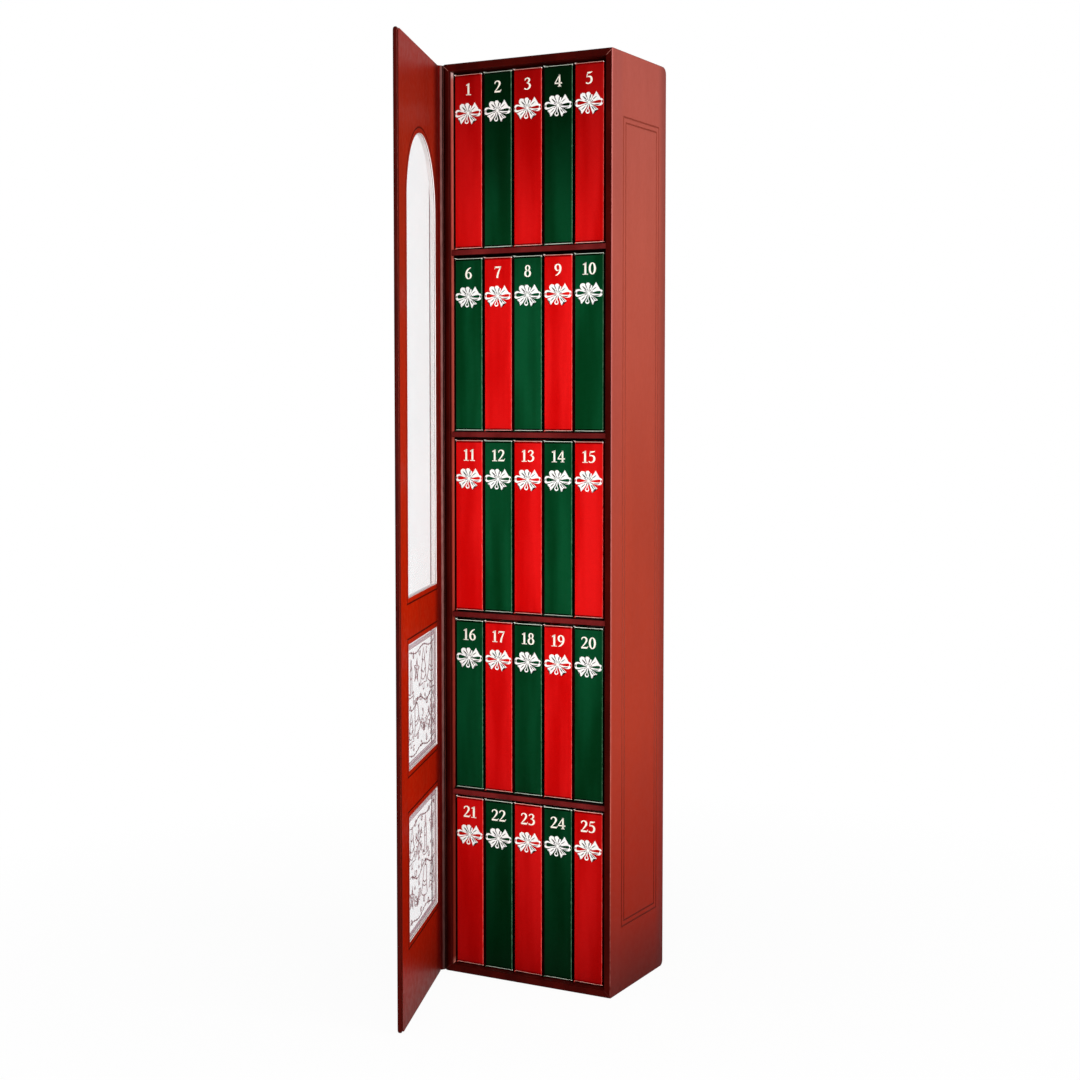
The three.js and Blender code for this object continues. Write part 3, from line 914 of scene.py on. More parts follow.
def cover_shape(size):
    """Cover with its spine at y = 0: a sheet bent round the book, given its thickness, then softened."""
    width, depth, height = size
    bm = bmesh.new()
    block(bm, (-width / 2, 0, 0), (width / 2, depth, height))
    open_sides = [face for face in bm.faces if face.normal.z ** 2 > 0.5 or face.normal.y > 0.5]
    bmesh.ops.delete(bm, geom=open_sides, context="FACES")
    cuts = [
        ((0, JOINT_START + JOINT_WIDTH * step / JOINT_STEPS, 0), (0, 1, 0)) for step in range(JOINT_STEPS + 1)
    ]
    cuts += [((0, 0, z), (0, 0, 1)) for z in (TAIL_CREASE, TAIL_CREASE * 1.6, height - HEAD_SHADE_BAND)]
    cuts += [((width * share, 0, 0), (1, 0, 0)) for share in (-0.3, -0.15, 0, 0.15, 0.3)]
    for point, normal in cuts:
        cut_through(bm, point, normal)
    for vert in bm.verts:
        share = (vert.co.y - JOINT_START) / JOINT_WIDTH
        if 0 < share < 1:
            dip = JOINT_DEPTH * (1 - math.cos(2 * math.pi * share)) / 2
            vert.co.x -= math.copysign(dip, vert.co.x)
        if near(vert.co.y, 0) and near(vert.co.z, TAIL_CREASE):
            vert.co.y += TAIL_CREASE_DEPTH * (1 - (2 * vert.co.x / width) ** 2)
    shoulders = edges_at(bm, lambda co: near(co.y, 0) and near(abs(co.x), width / 2))
    round_edges(bm, shoulders, SHOULDER_RADIUS, 6)
    turn_outward(bm)
    outside = set(bm.faces)
    if next(face for face in bm.faces if near(face.calc_center_median().y, 0)).normal.y > 0:
        bmesh.ops.reverse_faces(bm, faces=bm.faces)
    bmesh.ops.solidify(bm, geom=bm.faces[:], thickness=COVER_BOARD)
    inner_corners = [
        vert for vert in bm.verts
        if 0.9 * COVER_BOARD < vert.co.y < 1.3 * COVER_BOARD
        and abs(vert.co.x) > width / 2 - 1.3 * COVER_BOARD
        and not any(face in outside for face in vert.link_faces)
    ]
    bmesh.ops.remove_doubles(bm, verts=inner_corners, dist=INNER_CORNER)
    turn_outward(bm)
    rim = [edge for edge in bm.edges if sum(face in outside for face in edge.link_faces) == 1]
    round_edges(bm, rim, COVER_RIM, 5)
    # Painted light on the spine's edges: highlights on the head corners, the head and tail rims and the right
    # shoulder; shade on the steepest rims, the left shoulder and bands near head and tail.
    for face in bm.faces:
        face.normal_update()
        middle = face.calc_center_median()
        rise, turn = abs(face.normal.z), abs(face.normal.x)
        if middle.y > SHOULDER_RADIUS:
            continue
        at_head = middle.z > height / 2
        from_end = min(middle.z, height - middle.z)
        on_rim = from_end < COVER_RIM
        if on_rim and at_head and turn > TILTED and SLIGHTLY_TILTED < rise < STEEP:
            face.material_index = CORNER_HIGHLIGHT
        elif on_rim and rise > STEEP or face.normal.x < -TURNED_AWAY:
            face.material_index = SHADED
        elif on_rim and rise > TILTED:
            face.material_index = RIM_HIGHLIGHT
        elif turn < TURNED_AWAY and from_end < (HEAD_SHADE_BAND if at_head else TAIL_CREASE):
            face.material_index = RIM_SHADE
        elif HALF_TURNED < turn < NEARLY_TURNED:
            face.material_index = SHOULDER_HIGHLIGHT
    return bm


def page_shape(size):
    """Page block with a hollow fore edge, its front at y = 0."""
    width, depth, height = size
    bm = bmesh.new()
    block(bm, (-width / 2, 0, 0), (width / 2, depth, height))
    for step in range(1, 10):
        cut_through(bm, (width * (step / 10 - 0.5), 0, 0), (1, 0, 0))
    for vert in bm.verts:
        if near(vert.co.y, depth):
            vert.co.y -= FORE_EDGE_HOLLOW * (1 - (2 * vert.co.x / width) ** 2)
    return bm


def headband_shape(pages_size):
    """The two sewn bands at the head and tail of the page block's spine side."""
    width, _, height = pages_size
    bm = bmesh.new()
    radius = HEADBAND_RADIUS
    for z in (HEADBAND_SINK, height - HEADBAND_SINK):
        verts = bmesh.ops.create_cone(
            bm, cap_ends=True, segments=12, radius1=radius, radius2=radius, depth=width * HEADBAND_SHARE,
        )["verts"]
        bmesh.ops.rotate(bm, verts=verts, matrix=Matrix.Rotation(math.pi / 2, 3, "Y"))
        bmesh.ops.translate(bm, verts=verts, vec=(0, radius * 0.9, z))
    return bm


def oval(cx, cz, rx, rz, thick, thin, steps=28):
    """The nodes of an upright ring, thick at its sides and thin at top and bottom."""
    turns = [2 * math.pi * step / steps for step in range(steps)]
    return [
        (cx + rx * math.cos(t), cz + rz * math.sin(t), thin + (thick - thin) * abs(math.cos(t)))
        for t in turns
    ]


# Numerals on a unit height, drawn as pen strokes: each node is x, z and the pen's width there
SIX = [
    (0.47, 0.965, 0.05), (0.30, 0.87, 0.09), (0.15, 0.66, 0.145), (0.095, 0.36, 0.165),
    (0.16, 0.12, 0.13), (0.29, 0.035, 0.065), (0.43, 0.12, 0.12), (0.475, 0.30, 0.155),
    (0.41, 0.49, 0.11), (0.29, 0.56, 0.055), (0.155, 0.46, 0.045),
]
DIGITS = {
    "0": [oval(0.28, 0.49, 0.195, 0.455, 0.16, 0.055)],
    "1": [
        [(0.26, 0.03, 0.155), (0.26, 0.93, 0.15)],
        [(0.33, 0.98, 0.05), (0.22, 0.90, 0.10), (0.08, 0.82, 0.06)],
        [(0.06, 0.026, 0.052), (0.46, 0.026, 0.052)],
    ],
    "2": [
        [
            (0.07, 0.72, 0.05), (0.10, 0.86, 0.085), (0.25, 0.955, 0.07), (0.41, 0.87, 0.135),
            (0.445, 0.71, 0.155), (0.37, 0.51, 0.12), (0.22, 0.28, 0.075), (0.07, 0.10, 0.05),
        ],
        [(0.035, 0.065, 0.12), (0.49, 0.065, 0.12)],
        [(0.47, 0.05, 0.05), (0.53, 0.13, 0.05), (0.56, 0.23, 0.04)],
    ],
    "3": [
        [
            (0.07, 0.78, 0.05), (0.13, 0.895, 0.08), (0.26, 0.96, 0.06), (0.39, 0.885, 0.12),
            (0.41, 0.75, 0.14), (0.33, 0.61, 0.085), (0.19, 0.545, 0.045),
        ],
        [
            (0.19, 0.555, 0.045), (0.36, 0.50, 0.09), (0.46, 0.34, 0.16), (0.41, 0.14, 0.135),
            (0.25, 0.035, 0.07), (0.11, 0.06, 0.09), (0.04, 0.13, 0.07),
        ],
    ],
    "4": [
        [(0.395, 0.975, 0.06), (0.03, 0.30, 0.06)],
        [(0.01, 0.285, 0.085), (0.57, 0.285, 0.085)],
        [(0.385, 0.01, 0.145), (0.385, 0.97, 0.12)],
        [(0.25, 0.024, 0.045), (0.52, 0.024, 0.045)],
    ],
    "5": [
        [(0.13, 0.90, 0.12), (0.30, 0.91, 0.12), (0.46, 0.945, 0.05), (0.50, 0.99, 0.02)],
        [(0.15, 0.95, 0.05), (0.10, 0.56, 0.05)],
        [
            (0.09, 0.56, 0.05), (0.24, 0.605, 0.08), (0.40, 0.53, 0.14), (0.455, 0.34, 0.16),
            (0.39, 0.13, 0.135), (0.23, 0.035, 0.07), (0.10, 0.06, 0.09), (0.04, 0.13, 0.07),
        ],
    ],
    "6": [SIX],
    "7": [
        [(0.05, 0.905, 0.115), (0.53, 0.905, 0.115)],
        [(0.09, 0.93, 0.06), (0.055, 0.84, 0.05), (0.04, 0.74, 0.035)],
        [(0.50, 0.93, 0.07), (0.37, 0.60, 0.10), (0.27, 0.28, 0.14), (0.23, 0.0, 0.16)],
    ],
    "8": [
        oval(0.28, 0.745, 0.145, 0.205, 0.125, 0.055),
        oval(0.28, 0.28, 0.19, 0.255, 0.155, 0.055),
    ],
    "9": [[(0.56 - x, 0.985 - z, w) for x, z, w in SIX]],
}
RING_DIGITS = "08"
DIGIT_ADVANCE = {digit: 0.44 if digit == "1" else 0.54 for digit in DIGITS}


def wrap_round_spine(bm, half_width, height):
    """Lays a flat stamp on the spine, following its shoulders, with its own zero at the given height."""
    for vert in bm.verts:
        over = abs(vert.co.x) - (half_width - SHOULDER_RADIUS)
        if over > 0:
            over = min(over, SHOULDER_RADIUS * 0.98)
            vert.co.y += SHOULDER_RADIUS - math.sqrt(SHOULDER_RADIUS ** 2 - over ** 2)
        vert.co.z += height


def numeral_shape(number):
    """A book's number in serif figures, centred on x = 0 with its foot at z = 0."""
    bm = bmesh.new()
    pen = PEN_WEIGHT * DIGIT_HEIGHT
    x = 0.0
    for digit in str(number):
        for nodes in DIGITS[digit]:
            placed = [
                ((x + node_x * DIGIT_STRETCH) * DIGIT_HEIGHT, node_z * DIGIT_HEIGHT, width * pen)
                for node_x, node_z, width in nodes
            ]
            stroke(bm, placed, closed=digit in RING_DIGITS)
        x += DIGIT_ADVANCE[digit] * DIGIT_STRETCH + DIGIT_GAP
    width = (x - DIGIT_GAP) * DIGIT_HEIGHT
    bmesh.ops.translate(bm, verts=bm.verts, vec=(-width / 2, 0, 0))
    return bm


# The bow, in millimetres from its knot: bands of ribbon with a notch's depth, then the folds drawn on them
BOW_BANDS = [
    ([(-0.4, 0.3, 0.5), (-2.8, 0.95, 0.6), (-5.6, 1.75, 0.9), (-7.4, 1.65, 1.2), (-8.1, 0.3, 1.2),
      (-7.5, -1.15, 1.3), (-5.6, -1.2, 0.8), (-3.0, -0.6, 0.5), (-0.4, -0.2, 0.4)], 0),
    ([(0.4, 0.3, 0.5), (3.0, 0.8, 0.6), (6.0, 1.35, 0.7), (7.7, 1.2, 1.1), (8.15, -0.1, 1.2),
      (7.2, -1.3, 1.5), (5.0, -1.3, 1.3), (2.6, -0.75, 0.8), (0.4, -0.3, 0.5)], 0),
    ([(-0.3, 0.4, 0.8), (-1.7, 1.8, 2.5), (-3.2, 3.3, 3.7), (-4.2, 4.4, 3.2), (-4.8, 5.2, 1.4)], 0),
    ([(-0.1, 0.5, 0.6), (-0.4, 2.3, 1.9), (-0.4, 4.0, 2.9), (-0.5, 5.0, 2.6), (-0.5, 5.8, 1.2)], 0),
    ([(0.2, 0.5, 0.4), (0.8, 2.0, 0.9), (1.5, 3.4, 1.1), (1.7, 4.3, 0.7)], 0),
    ([(0.4, 0.4, 0.6), (2.5, 1.8, 1.9), (4.4, 3.0, 3.4), (5.8, 3.9, 4.9)], 0),
    ([(-0.3, -0.4, 0.7), (-2.3, -1.8, 2.0), (-4.5, -3.4, 3.4), (-5.9, -4.3, 4.1)], 0.8),
    ([(0.3, -0.4, 0.7), (1.8, -2.3, 2.0), (3.3, -4.3, 3.5), (4.1, -5.4, 4.2)], 1.1),
    ([(-0.2, -0.6, 0.3), (-1.1, -3.2, 0.4), (-1.9, -4.6, 0.6), (-1.3, -5.5, 0.8), (-0.2, -5.4, 0.7),
      (0.1, -4.5, 0.5), (-0.4, -3.0, 0.35), (-0.1, -0.6, 0.3)], 0),
]
BOW_FOLDS = [
    [(-1.4, 1.5, 0.3), (-2.7, 2.75, 0.6), (-3.9, 3.9, 0.25)],
    [(-1.1, 2.6, 0.2), (-1.75, 3.9, 0.45), (-2.2, 5.0, 0.3)],
    [(0.35, 2.3, 0.2), (0.75, 3.3, 0.55), (0.9, 4.4, 0.4)],
    [(2.2, 1.55, 0.15), (3.5, 2.4, 0.35), (4.7, 3.3, 0.15)],
    [(1.5, -2.0, 0.2), (2.4, -3.2, 0.5), (3.2, -4.3, 0.2)],
    [(2.4, -1.9, 0.2), (3.6, -3.0, 0.4), (4.7, -4.0, 0.2)],
    [(-2.3, -1.8, 0.15), (-3.5, -2.8, 0.4), (-4.7, -3.7, 0.15)],
    [(3.4, -1.25, 0.15), (5.2, -1.5, 0.45), (6.8, -1.2, 0.15)],
    [(-7.2, 0.8, 0.15), (-6.0, 1.2, 0.4), (-4.6, 1.0, 0.15)],
]
# Folds between the bands at the knot: each one's direction in degrees, and its end
KNOT_FOLDS = (
    (22, 2.6), (52, 2.4), (80, 2.2), (113, 2.6), (150, 3.0), (203, 2.8), (237, 2.6), (280, 2.4), (330, 2.8),
)
KNOT_FOLD_START = 0.9
KNOT_FOLD_WIDTH = 0.34


def bow_shape():
    """The stamped bow, its knot at the origin."""
    bm = bmesh.new()
    for order, (nodes, notch) in enumerate(BOW_BANDS):
        stroke(bm, [Vector(node) * MM for node in nodes], notch=notch * MM, level=-BAND_STEP * order)
    knot = [(-0.75 * MM, 0, 0.9 * MM), (0, 0, 1.5 * MM), (0.75 * MM, 0, 0.9 * MM)]
    stroke(bm, knot, level=-BAND_STEP * len(BOW_BANDS))
    folds = list(BOW_FOLDS)
    for degrees, end in KNOT_FOLDS:
        x, z = math.cos(math.radians(degrees)), math.sin(math.radians(degrees))
        reaches = ((KNOT_FOLD_START, KNOT_FOLD_WIDTH / 2), (end, KNOT_FOLD_WIDTH))
        folds.append([(x * reach, z * reach, width) for reach, width in reaches])
    for nodes in folds:
        drawn = [Vector((x, z, width * FOLD_WEIGHT)) * MM for x, z, width in nodes]
        stroke(bm, drawn, level=-FOLD_LINE_RISE, material=1)
    for face in bm.faces:
        face.normal_update()
    return bm


def stamp(name, bm, corner, size, drop, body, materials):
    """Lays a stamp on a book's spine, a distance below its head, and finishes it."""
    thickened(bm, -STAMP_RISE, STAMP_DEPTH)
    wrap_round_spine(bm, size.x / 2, size.z - drop)
    place = Matrix.Translation((corner.x + size.x / 2, corner.y, corner.z))
    finished(name, bm, body, materials, place=place)


def book(number):
    """One book: cover, pages, headbands, and the number and bow stamped on its spine."""
    label = f"{number:02d}"
    body = f"book_{label}"
    red = number % 2 == 1
    low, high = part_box(f"book_cover_{label}")
    size = high - low
    middle = low.x + size.x / 2
    covering = RED_COVERING if red else GREEN_COVERING
    finished(
        f"cover_{label}", cover_shape(size), body, covering, (f"book_cover_{label}",),
        Matrix.Translation((middle, low.y, low.z)),
    )
    page_low, page_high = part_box(f"book_pages_{label}")
    page_size = page_high - page_low
    at_pages = Matrix.Translation((middle, page_low.y, page_low.z))
    finished(
        f"pages_{label}", page_shape(page_size), body, (PAGES,),
        (f"book_pages_{label}",), at_pages,
    )
    finished(
        f"headbands_{label}", headband_shape(page_size), body, (HEADBAND,),
        place=at_pages,
    )
    stamp(
        f"number_{label}", numeral_shape(number), low, size, NUMERAL_DROP + DIGIT_HEIGHT,
        body, (IVORY,),
    )
    stamp(f"bow_{label}", bow_shape(), low, size, BOW_DROP, body, (RIBBON, FOLD))


# Door


# The arch's radius in half widths of the window: just under 1, so that its two quarters stay apart
ARCH_SHARE = 0.9999
OPENINGS = (
    (BOTTOM_RAIL, BOTTOM_RAIL + PANEL_HEIGHT, False),
    (UPPER_PANEL_BOTTOM, UPPER_PANEL_BOTTOM + PANEL_HEIGHT, False),
    (WINDOW_BOTTOM, DOOR_HEIGHT - TOP_RAIL, True),
)


def opening_face(bm, opening, grow, y):
    """One opening's outline as a face towards +Y, grown outward on every side."""
    bottom, top, arched = opening
    left, right = OPENING_LEFT - grow, OPENING_RIGHT + grow
    low, high = bottom - grow, top + grow
    known = set(bm.faces)
    face = flat_face(bm, rectangle(left, right, low, high, y), (0, 1, 0))
    if arched:
        head = [vert for vert in face.verts if near(vert.co.z, high)]
        round_corners(bm, head, (right - left) / 2 * ARCH_SHARE, 24)
        face = next(made for made in bm.faces if made not in known)
        bmesh.ops.remove_doubles(bm, verts=face.verts, dist=0.1 * MM)
        face = next(made for made in bm.faces if made not in known)
    return face


def door_face(bm, inset_by, y, facing):
    """The door's whole outline as a face, its corners rounded."""
    left, right = HINGE_GUTTER + inset_by, DOOR_FREE_EDGE - inset_by
    low, high = inset_by, DOOR_HEIGHT - inset_by
    known = set(bm.faces)
    face = flat_face(bm, rectangle(left, right, low, high, y), (0, facing, 0))
    for side, radius in ((left, DOOR_HINGE_CORNER), (right, DOOR_FREE_CORNER)):
        round_corners(bm, [v for v in face.verts if near(v.co.x, side)], radius, 6)
        face = next(made for made in bm.faces if made not in known)
    return face


def fill(bm, edges, facing):
    """Fills a flat outline round its holes."""
    bmesh.ops.triangle_fill(bm, edges=edges, use_beauty=True, normal=(0, facing, 0))


def in_opening(co, grow=0.0):
    """True for a point on the wall of an opening, and not on the door's outer edge."""
    margin = grow + MM
    inside_x = OPENING_LEFT - margin < co.x < OPENING_RIGHT + margin
    return inside_x and BOTTOM_RAIL - margin < co.z < DOOR_HEIGHT - TOP_RAIL + margin


# Places in the materials of the door's board and lining
CUT_WALL, OUTER_EDGE = 1, 2


def door_board():
    """The door's core in its covering: dark rounded edges, and openings that show the cut board."""
    bm = bmesh.new()
    inner, outer = SHEET_FACE, SHEET_FACE - DOOR_BOARD
    front = door_face(bm, 0, inner - DOOR_EDGE, 1)
    back = door_face(bm, 0, outer + DOOR_EDGE, -1)
    join(bm, list(front.edges), list(back.edges))
    soften(bm, front, DOOR_EDGE)
    soften(bm, back, DOOR_EDGE)
    front_rim, back_rim = opened(bm, front), opened(bm, back)
    front_holes = [opened(bm, opening_face(bm, opening, 0, inner)) for opening in OPENINGS]
    back_holes = [opened(bm, opening_face(bm, opening, 0, outer)) for opening in OPENINGS]
    fill(bm, front_rim + sum(front_holes, []), 1)
    fill(bm, back_rim + sum(back_holes, []), -1)
    for front_hole, back_hole in zip(front_holes, back_holes):
        join(bm, front_hole, back_hole)
    turn_outward(bm)
    for face in bm.faces:
        face.normal_update()
        if abs(face.normal.y) < ALONG_Y:
            face.material_index = CUT_WALL if in_opening(face.calc_center_median()) else OUTER_EDGE
    finished(
        "door_board_covered", bm, "door", (MAHOGANY, CUT_EDGE, MAROON),
        ("door_board",), DOOR_PLACE,
    )


def door_lining():
    """The lining of the door's inner side, with a line pressed round each opening."""
    bm = bmesh.new()
    reach = OUTLINE_OFFSET + DEBOSS_WIDTH / 2
    under = -DOOR_LINING
    outline = opened(bm, door_face(bm, LINING_INSET, 0, 1))
    under_outline = opened(bm, door_face(bm, LINING_INSET, under, -1))
    join(bm, outline, under_outline)
    holes = [opened(bm, opening_face(bm, opening, reach, 0)) for opening in OPENINGS]
    under_holes = [opened(bm, opening_face(bm, opening, 0, under)) for opening in OPENINGS]
    fill(bm, outline + sum(holes, []), 1)
    fill(bm, under_outline + sum(under_holes, []), -1)
    for opening, under_hole in zip(OPENINGS, under_holes):
        field = opening_face(bm, opening, reach, 0)
        field.material_index = 0
        press_line(bm, field)
        inset(bm, field, OUTLINE_OFFSET - DEBOSS_WIDTH / 2)
        join(bm, opened(bm, field), under_hole)
    bmesh.ops.remove_doubles(bm, verts=bm.verts, dist=0.01 * MM)
    turn_outward(bm)
    for face in bm.faces:
        face.normal_update()
        if abs(face.normal.y) < TILTED and face.material_index == 0:
            face.material_index = CUT_WALL if in_opening(face.calc_center_median()) else OUTER_EDGE
    finished(
        "door_lining_paper", bm, "door", (DOOR_RED, CUT_EDGE, DOOR_LINE),
        ("door_lining",), DOOR_PLACE,
    )


def window_sheet():
    """The pale sheet in its pocket behind the openings."""
    bm = bmesh.new()
    lap = SHEET_LAP - SEAT
    block(
        bm,
        (OPENING_LEFT - lap, SHEET_FACE - WINDOW_SHEET, BOTTOM_RAIL - lap),
        (OPENING_RIGHT + lap, SHEET_FACE, DOOR_HEIGHT - TOP_RAIL + lap),
    )
    finished(
        "window", bm, "door", (SHEET,), ("window_sheet",), DOOR_PLACE,
    )


def turned(nodes, degrees, size=1.0, x=0.0, z=0.0):
    """Drawn nodes (x, z), turned, scaled and moved."""
    turn = Matrix.Rotation(math.radians(degrees), 2)
    return [Vector((x, z)) + turn @ Vector(node) * size for node in nodes]


def ring(x, z, radius):
    """A small circle, as closed nodes."""
    turns = [math.pi / 5 * step for step in range(10)]
    return [(x + radius * math.cos(turn), z + radius * math.sin(turn)) for turn in turns]


def broad_pen(nodes, closed):
    """Gives drawn nodes their width in the ink: a broad pen draws thick upright and thin level lines."""
    count = len(nodes)
    widened = []
    for i, node in enumerate(nodes):
        before = nodes[i - 1] if closed or i else node
        after = nodes[(i + 1) % count] if closed or i < count - 1 else node
        steep = abs((after - before).normalized().y)
        widened.append(Vector((node.x, node.y, THIN_INK + (BROAD_INK - THIN_INK) * steep)) * MM)
    return widened


STAR = [
    (reach * math.sin(math.pi * step / 5), reach * math.cos(math.pi * step / 5))
    for step, reach in enumerate((4, 1.7) * 5)
]
HALF_LEAF = [(0.6, 0), (2.2, 1.8), (3.2, 1.2), (4.9, 3.1), (6, 1.8), (8, 2.8), (8.8, 1.2), (11, 0)]
LEAF = HALF_LEAF + [(x, -z) for x, z in HALF_LEAF[-2:0:-1]]
HALF_BELL = [(0.9, 6), (2.1, 5.2), (2.7, 2.6), (3.4, -0.4), (4.8, -2.6)]
HALF_FIR = [(0, 8.5), (2.4, 4.6), (1.3, 4.8), (3.9, 0.9), (2.4, 1.2), (5.4, -3.6), (1, -3.2), (1, -5.4)]
SNOW_ARM = ([(0, 0), (0, 7)], [(-1.9, 4.6), (0, 3.1), (1.9, 4.6)], [(-1.5, 6.8), (0, 5.5), (1.5, 6.8)])
BERRIES = [ring(x, z, 1) for x, z in ((-1.2, -0.7), (1.2, -0.7), (0, 1.3))]
CURL = [(0.36 * t * math.cos(t), 0.36 * t * math.sin(t)) for t in (0.8 * step for step in range(1, 9))]

# Figures of the printed panels: for each its open lines and its closed ones, around its own middle
FIGURES = {
    "snowflake": ([turned(nodes, 60 * arm) for arm in range(6) for nodes in SNOW_ARM], []),
    "holly": (
        [turned([(1.6, 0), (9, 0)], turn) for turn in (28, 152)],
        [turned(LEAF, turn) for turn in (28, 152)] + BERRIES,
    ),
    "bell": (
        [
            [(-x, z) for x, z in HALF_BELL[::-1]] + HALF_BELL,
            [(-4.8, -2.6), (-2.4, -3.3), (2.4, -3.3), (4.8, -2.6)],
            [(-3.2, 0.1), (0, -0.5), (3.2, 0.1)],
            [(-2.9, 1.3), (0, 0.7), (2.9, 1.3)],
        ],
        [ring(0, -4.4, 1), ring(0, 6.9, 0.9)],
    ),
    "star": ([[(0, 0), (x * 0.75, z * 0.75)] for x, z in STAR[::2]], [STAR]),
    "fir": (
        [
            [(-1.3, 4.8), (0.3, 4.1), (1.8, 4.9)],
            [(-2.4, 1.2), (0.3, 0.2), (3, 1.4)],
            [(-3.4, -1.2), (0.4, -2.2), (4, -1.0)],
        ],
        [HALF_FIR + [(-x, z) for x, z in HALF_FIR[:0:-1]]],
    ),
    "candle": (
        [
            [(-1.5, -4.6), (-1.5, 4.9), (-0.5, 5.3), (0.6, 4.7), (1.5, 5.1), (1.5, -4.6)],
            [(-4.6, -3.6), (-3.6, -5.2), (3.6, -5.2), (4.6, -3.6), (1.5, -4.3)],
            [(-4.6, -3.6), (-1.5, -4.3)],
            [(-1.5, 2.2), (0.2, 1.4), (1.5, 2.1)],
        ],
        [[(0, 9.2), (1.1, 7.3), (0.7, 6.1), (0, 5.7), (-0.7, 6.1), (-1.1, 7.3)]],
    ),
    "curl": ([CURL], []),
    "dot": ([], [ring(0, 0, 0.5)]),
}


def placed_figure(figure, x, z, size, degrees=0):
    """A figure's open lines and closed ones at their place on the panel."""
    return [[turned(nodes, degrees, size, x, z) for nodes in lines] for lines in FIGURES[figure]]


def garland(z, rise, phase):
    """A string of berries that swings across the panel: its line, which is open, and its berries."""
    def swing(first, end, step):
        return [(x, z + rise * math.sin(0.16 * x + phase)) for x in range(first, end, step)]

    return [swing(5, 75, 3)], [ring(x, z, 0.45) for x, z in swing(8, 74, 6)]


# Where the figures stand on each panel: x, z, size and turn, and for a garland z, rise and phase
UPPER_PANEL = {
    "bell": ((14, 46, 2.0, 12), (53, 22, 1.8, -14)),
    "fir": ((35, 47, 1.7), (69, 18, 1.35)),
    "star": ((54, 51, 1.9, 10),),
    "candle": ((69, 46, 1.45),),
    "snowflake": ((14, 19, 1.5),),
    "holly": ((34, 16, 1.0, 4),),
    "curl": (
        (25, 31, 1.6, 20), (44, 34, 1.5, 200), (61, 35, 1.3, 80), (38, 26, 1.3, 300), (26, 58, 1.1, 120),
        (45, 60, 1.1, 10), (8, 31, 1.2, 250), (42, 9, 1.1, 330), (26, 9, 1.1, 60), (62, 9, 1.0, 140),
        (62, 60, 1.0, 90), (8, 8, 1.0, 180),
    ),
    "dot": ((23, 38, 1.6), (47, 42, 1.6), (31, 34, 1.6), (52, 35, 1.6), (71, 33, 1.6), (18, 33, 1.6)),
    "garland": ((33, 2.2, 0.4), (62, 1.2, 2.0), (6.5, 1.2, 1.1)),
}
LOWER_PANEL = {
    "star": ((13, 52, 1.9, -6), (69, 21, 1.7, 14)),
    "candle": ((31, 45, 1.5),),
    "snowflake": ((50, 48, 1.45),),
    "fir": ((68, 46, 1.6), (13, 20, 1.55)),
    "bell": ((34, 20, 1.8, 12),),
    "holly": ((54, 15, 0.95, -6),),
    "curl": (
        (21, 35, 1.5, 70), (41, 33, 1.4, 150), (58, 33, 1.5, 20), (24, 8, 1.1, 250), (41, 60, 1.1, 30),
        (22, 60, 1.1, 190), (59, 61, 1.0, 300), (8, 37, 1.2, 100), (44, 9, 1.0, 10), (71, 8, 1.0, 220),
        (49, 25, 1.1, 90), (7, 62, 0.9, 60),
    ),
    "dot": ((30, 33, 1.6), (50, 34, 1.6), (66, 32, 1.6), (16, 40, 1.6), (38, 40, 1.6), (61, 25, 1.6)),
    "garland": ((31, 2.4, 2.6), (61, 1.2, 0.2), (6.5, 1.2, 3.0)),
}


def panel_print(name, bottom, figures):
    """A printed panel: winter figures inside a border of three lines, drawn in fine brown ink."""
    bm = bmesh.new()
    width, height = (OPENING_RIGHT - OPENING_LEFT) / MM, PANEL_HEIGHT / MM
    for margin in PRINT_BORDER_LINES:
        right, top = width - margin, height - margin
        corners = ((margin, margin), (right, margin), (right, top), (margin, top))
        for start, end in zip(corners, corners[1:] + corners[:1]):
            stroke(bm, [Vector((*start, THIN_INK)) * MM, Vector((*end, THIN_INK)) * MM])
    for figure, places in figures.items():
        for place in places:
            drawing = garland(*place) if figure == "garland" else placed_figure(figure, *place)
            for closed, lines in enumerate(drawing):
                for nodes in lines:
                    stroke(bm, broad_pen([Vector(node) for node in nodes], closed), closed=closed)
    thickened(bm, SHEET_FACE + INK_RISE, SHEET_FACE - INK_DEPTH)
    place = DOOR_PLACE @ Matrix.Translation((OPENING_LEFT, 0, bottom))
    finished(name, bm, "door", (INK,), place=place)


def panel_border(name, bottom):
    """The band of paler, rosy ink behind a printed panel's border lines."""
    bm = bmesh.new()
    left, right = OPENING_LEFT + PRINT_MARGIN, OPENING_RIGHT - PRINT_MARGIN
    low, high = bottom + PRINT_MARGIN, bottom + PANEL_HEIGHT - PRINT_MARGIN
    face = flat_face(bm, rectangle(left, right, low, high), (0, 1, 0))
    inset(bm, face, PRINT_BORDER_WIDTH - PRINT_MARGIN)
    opened(bm, face)
    thickened(bm, SHEET_FACE + INK_RISE / 3, SHEET_FACE - INK_DEPTH)
    finished(name, bm, "door", (PRINT_BORDER,), place=DOOR_PLACE)


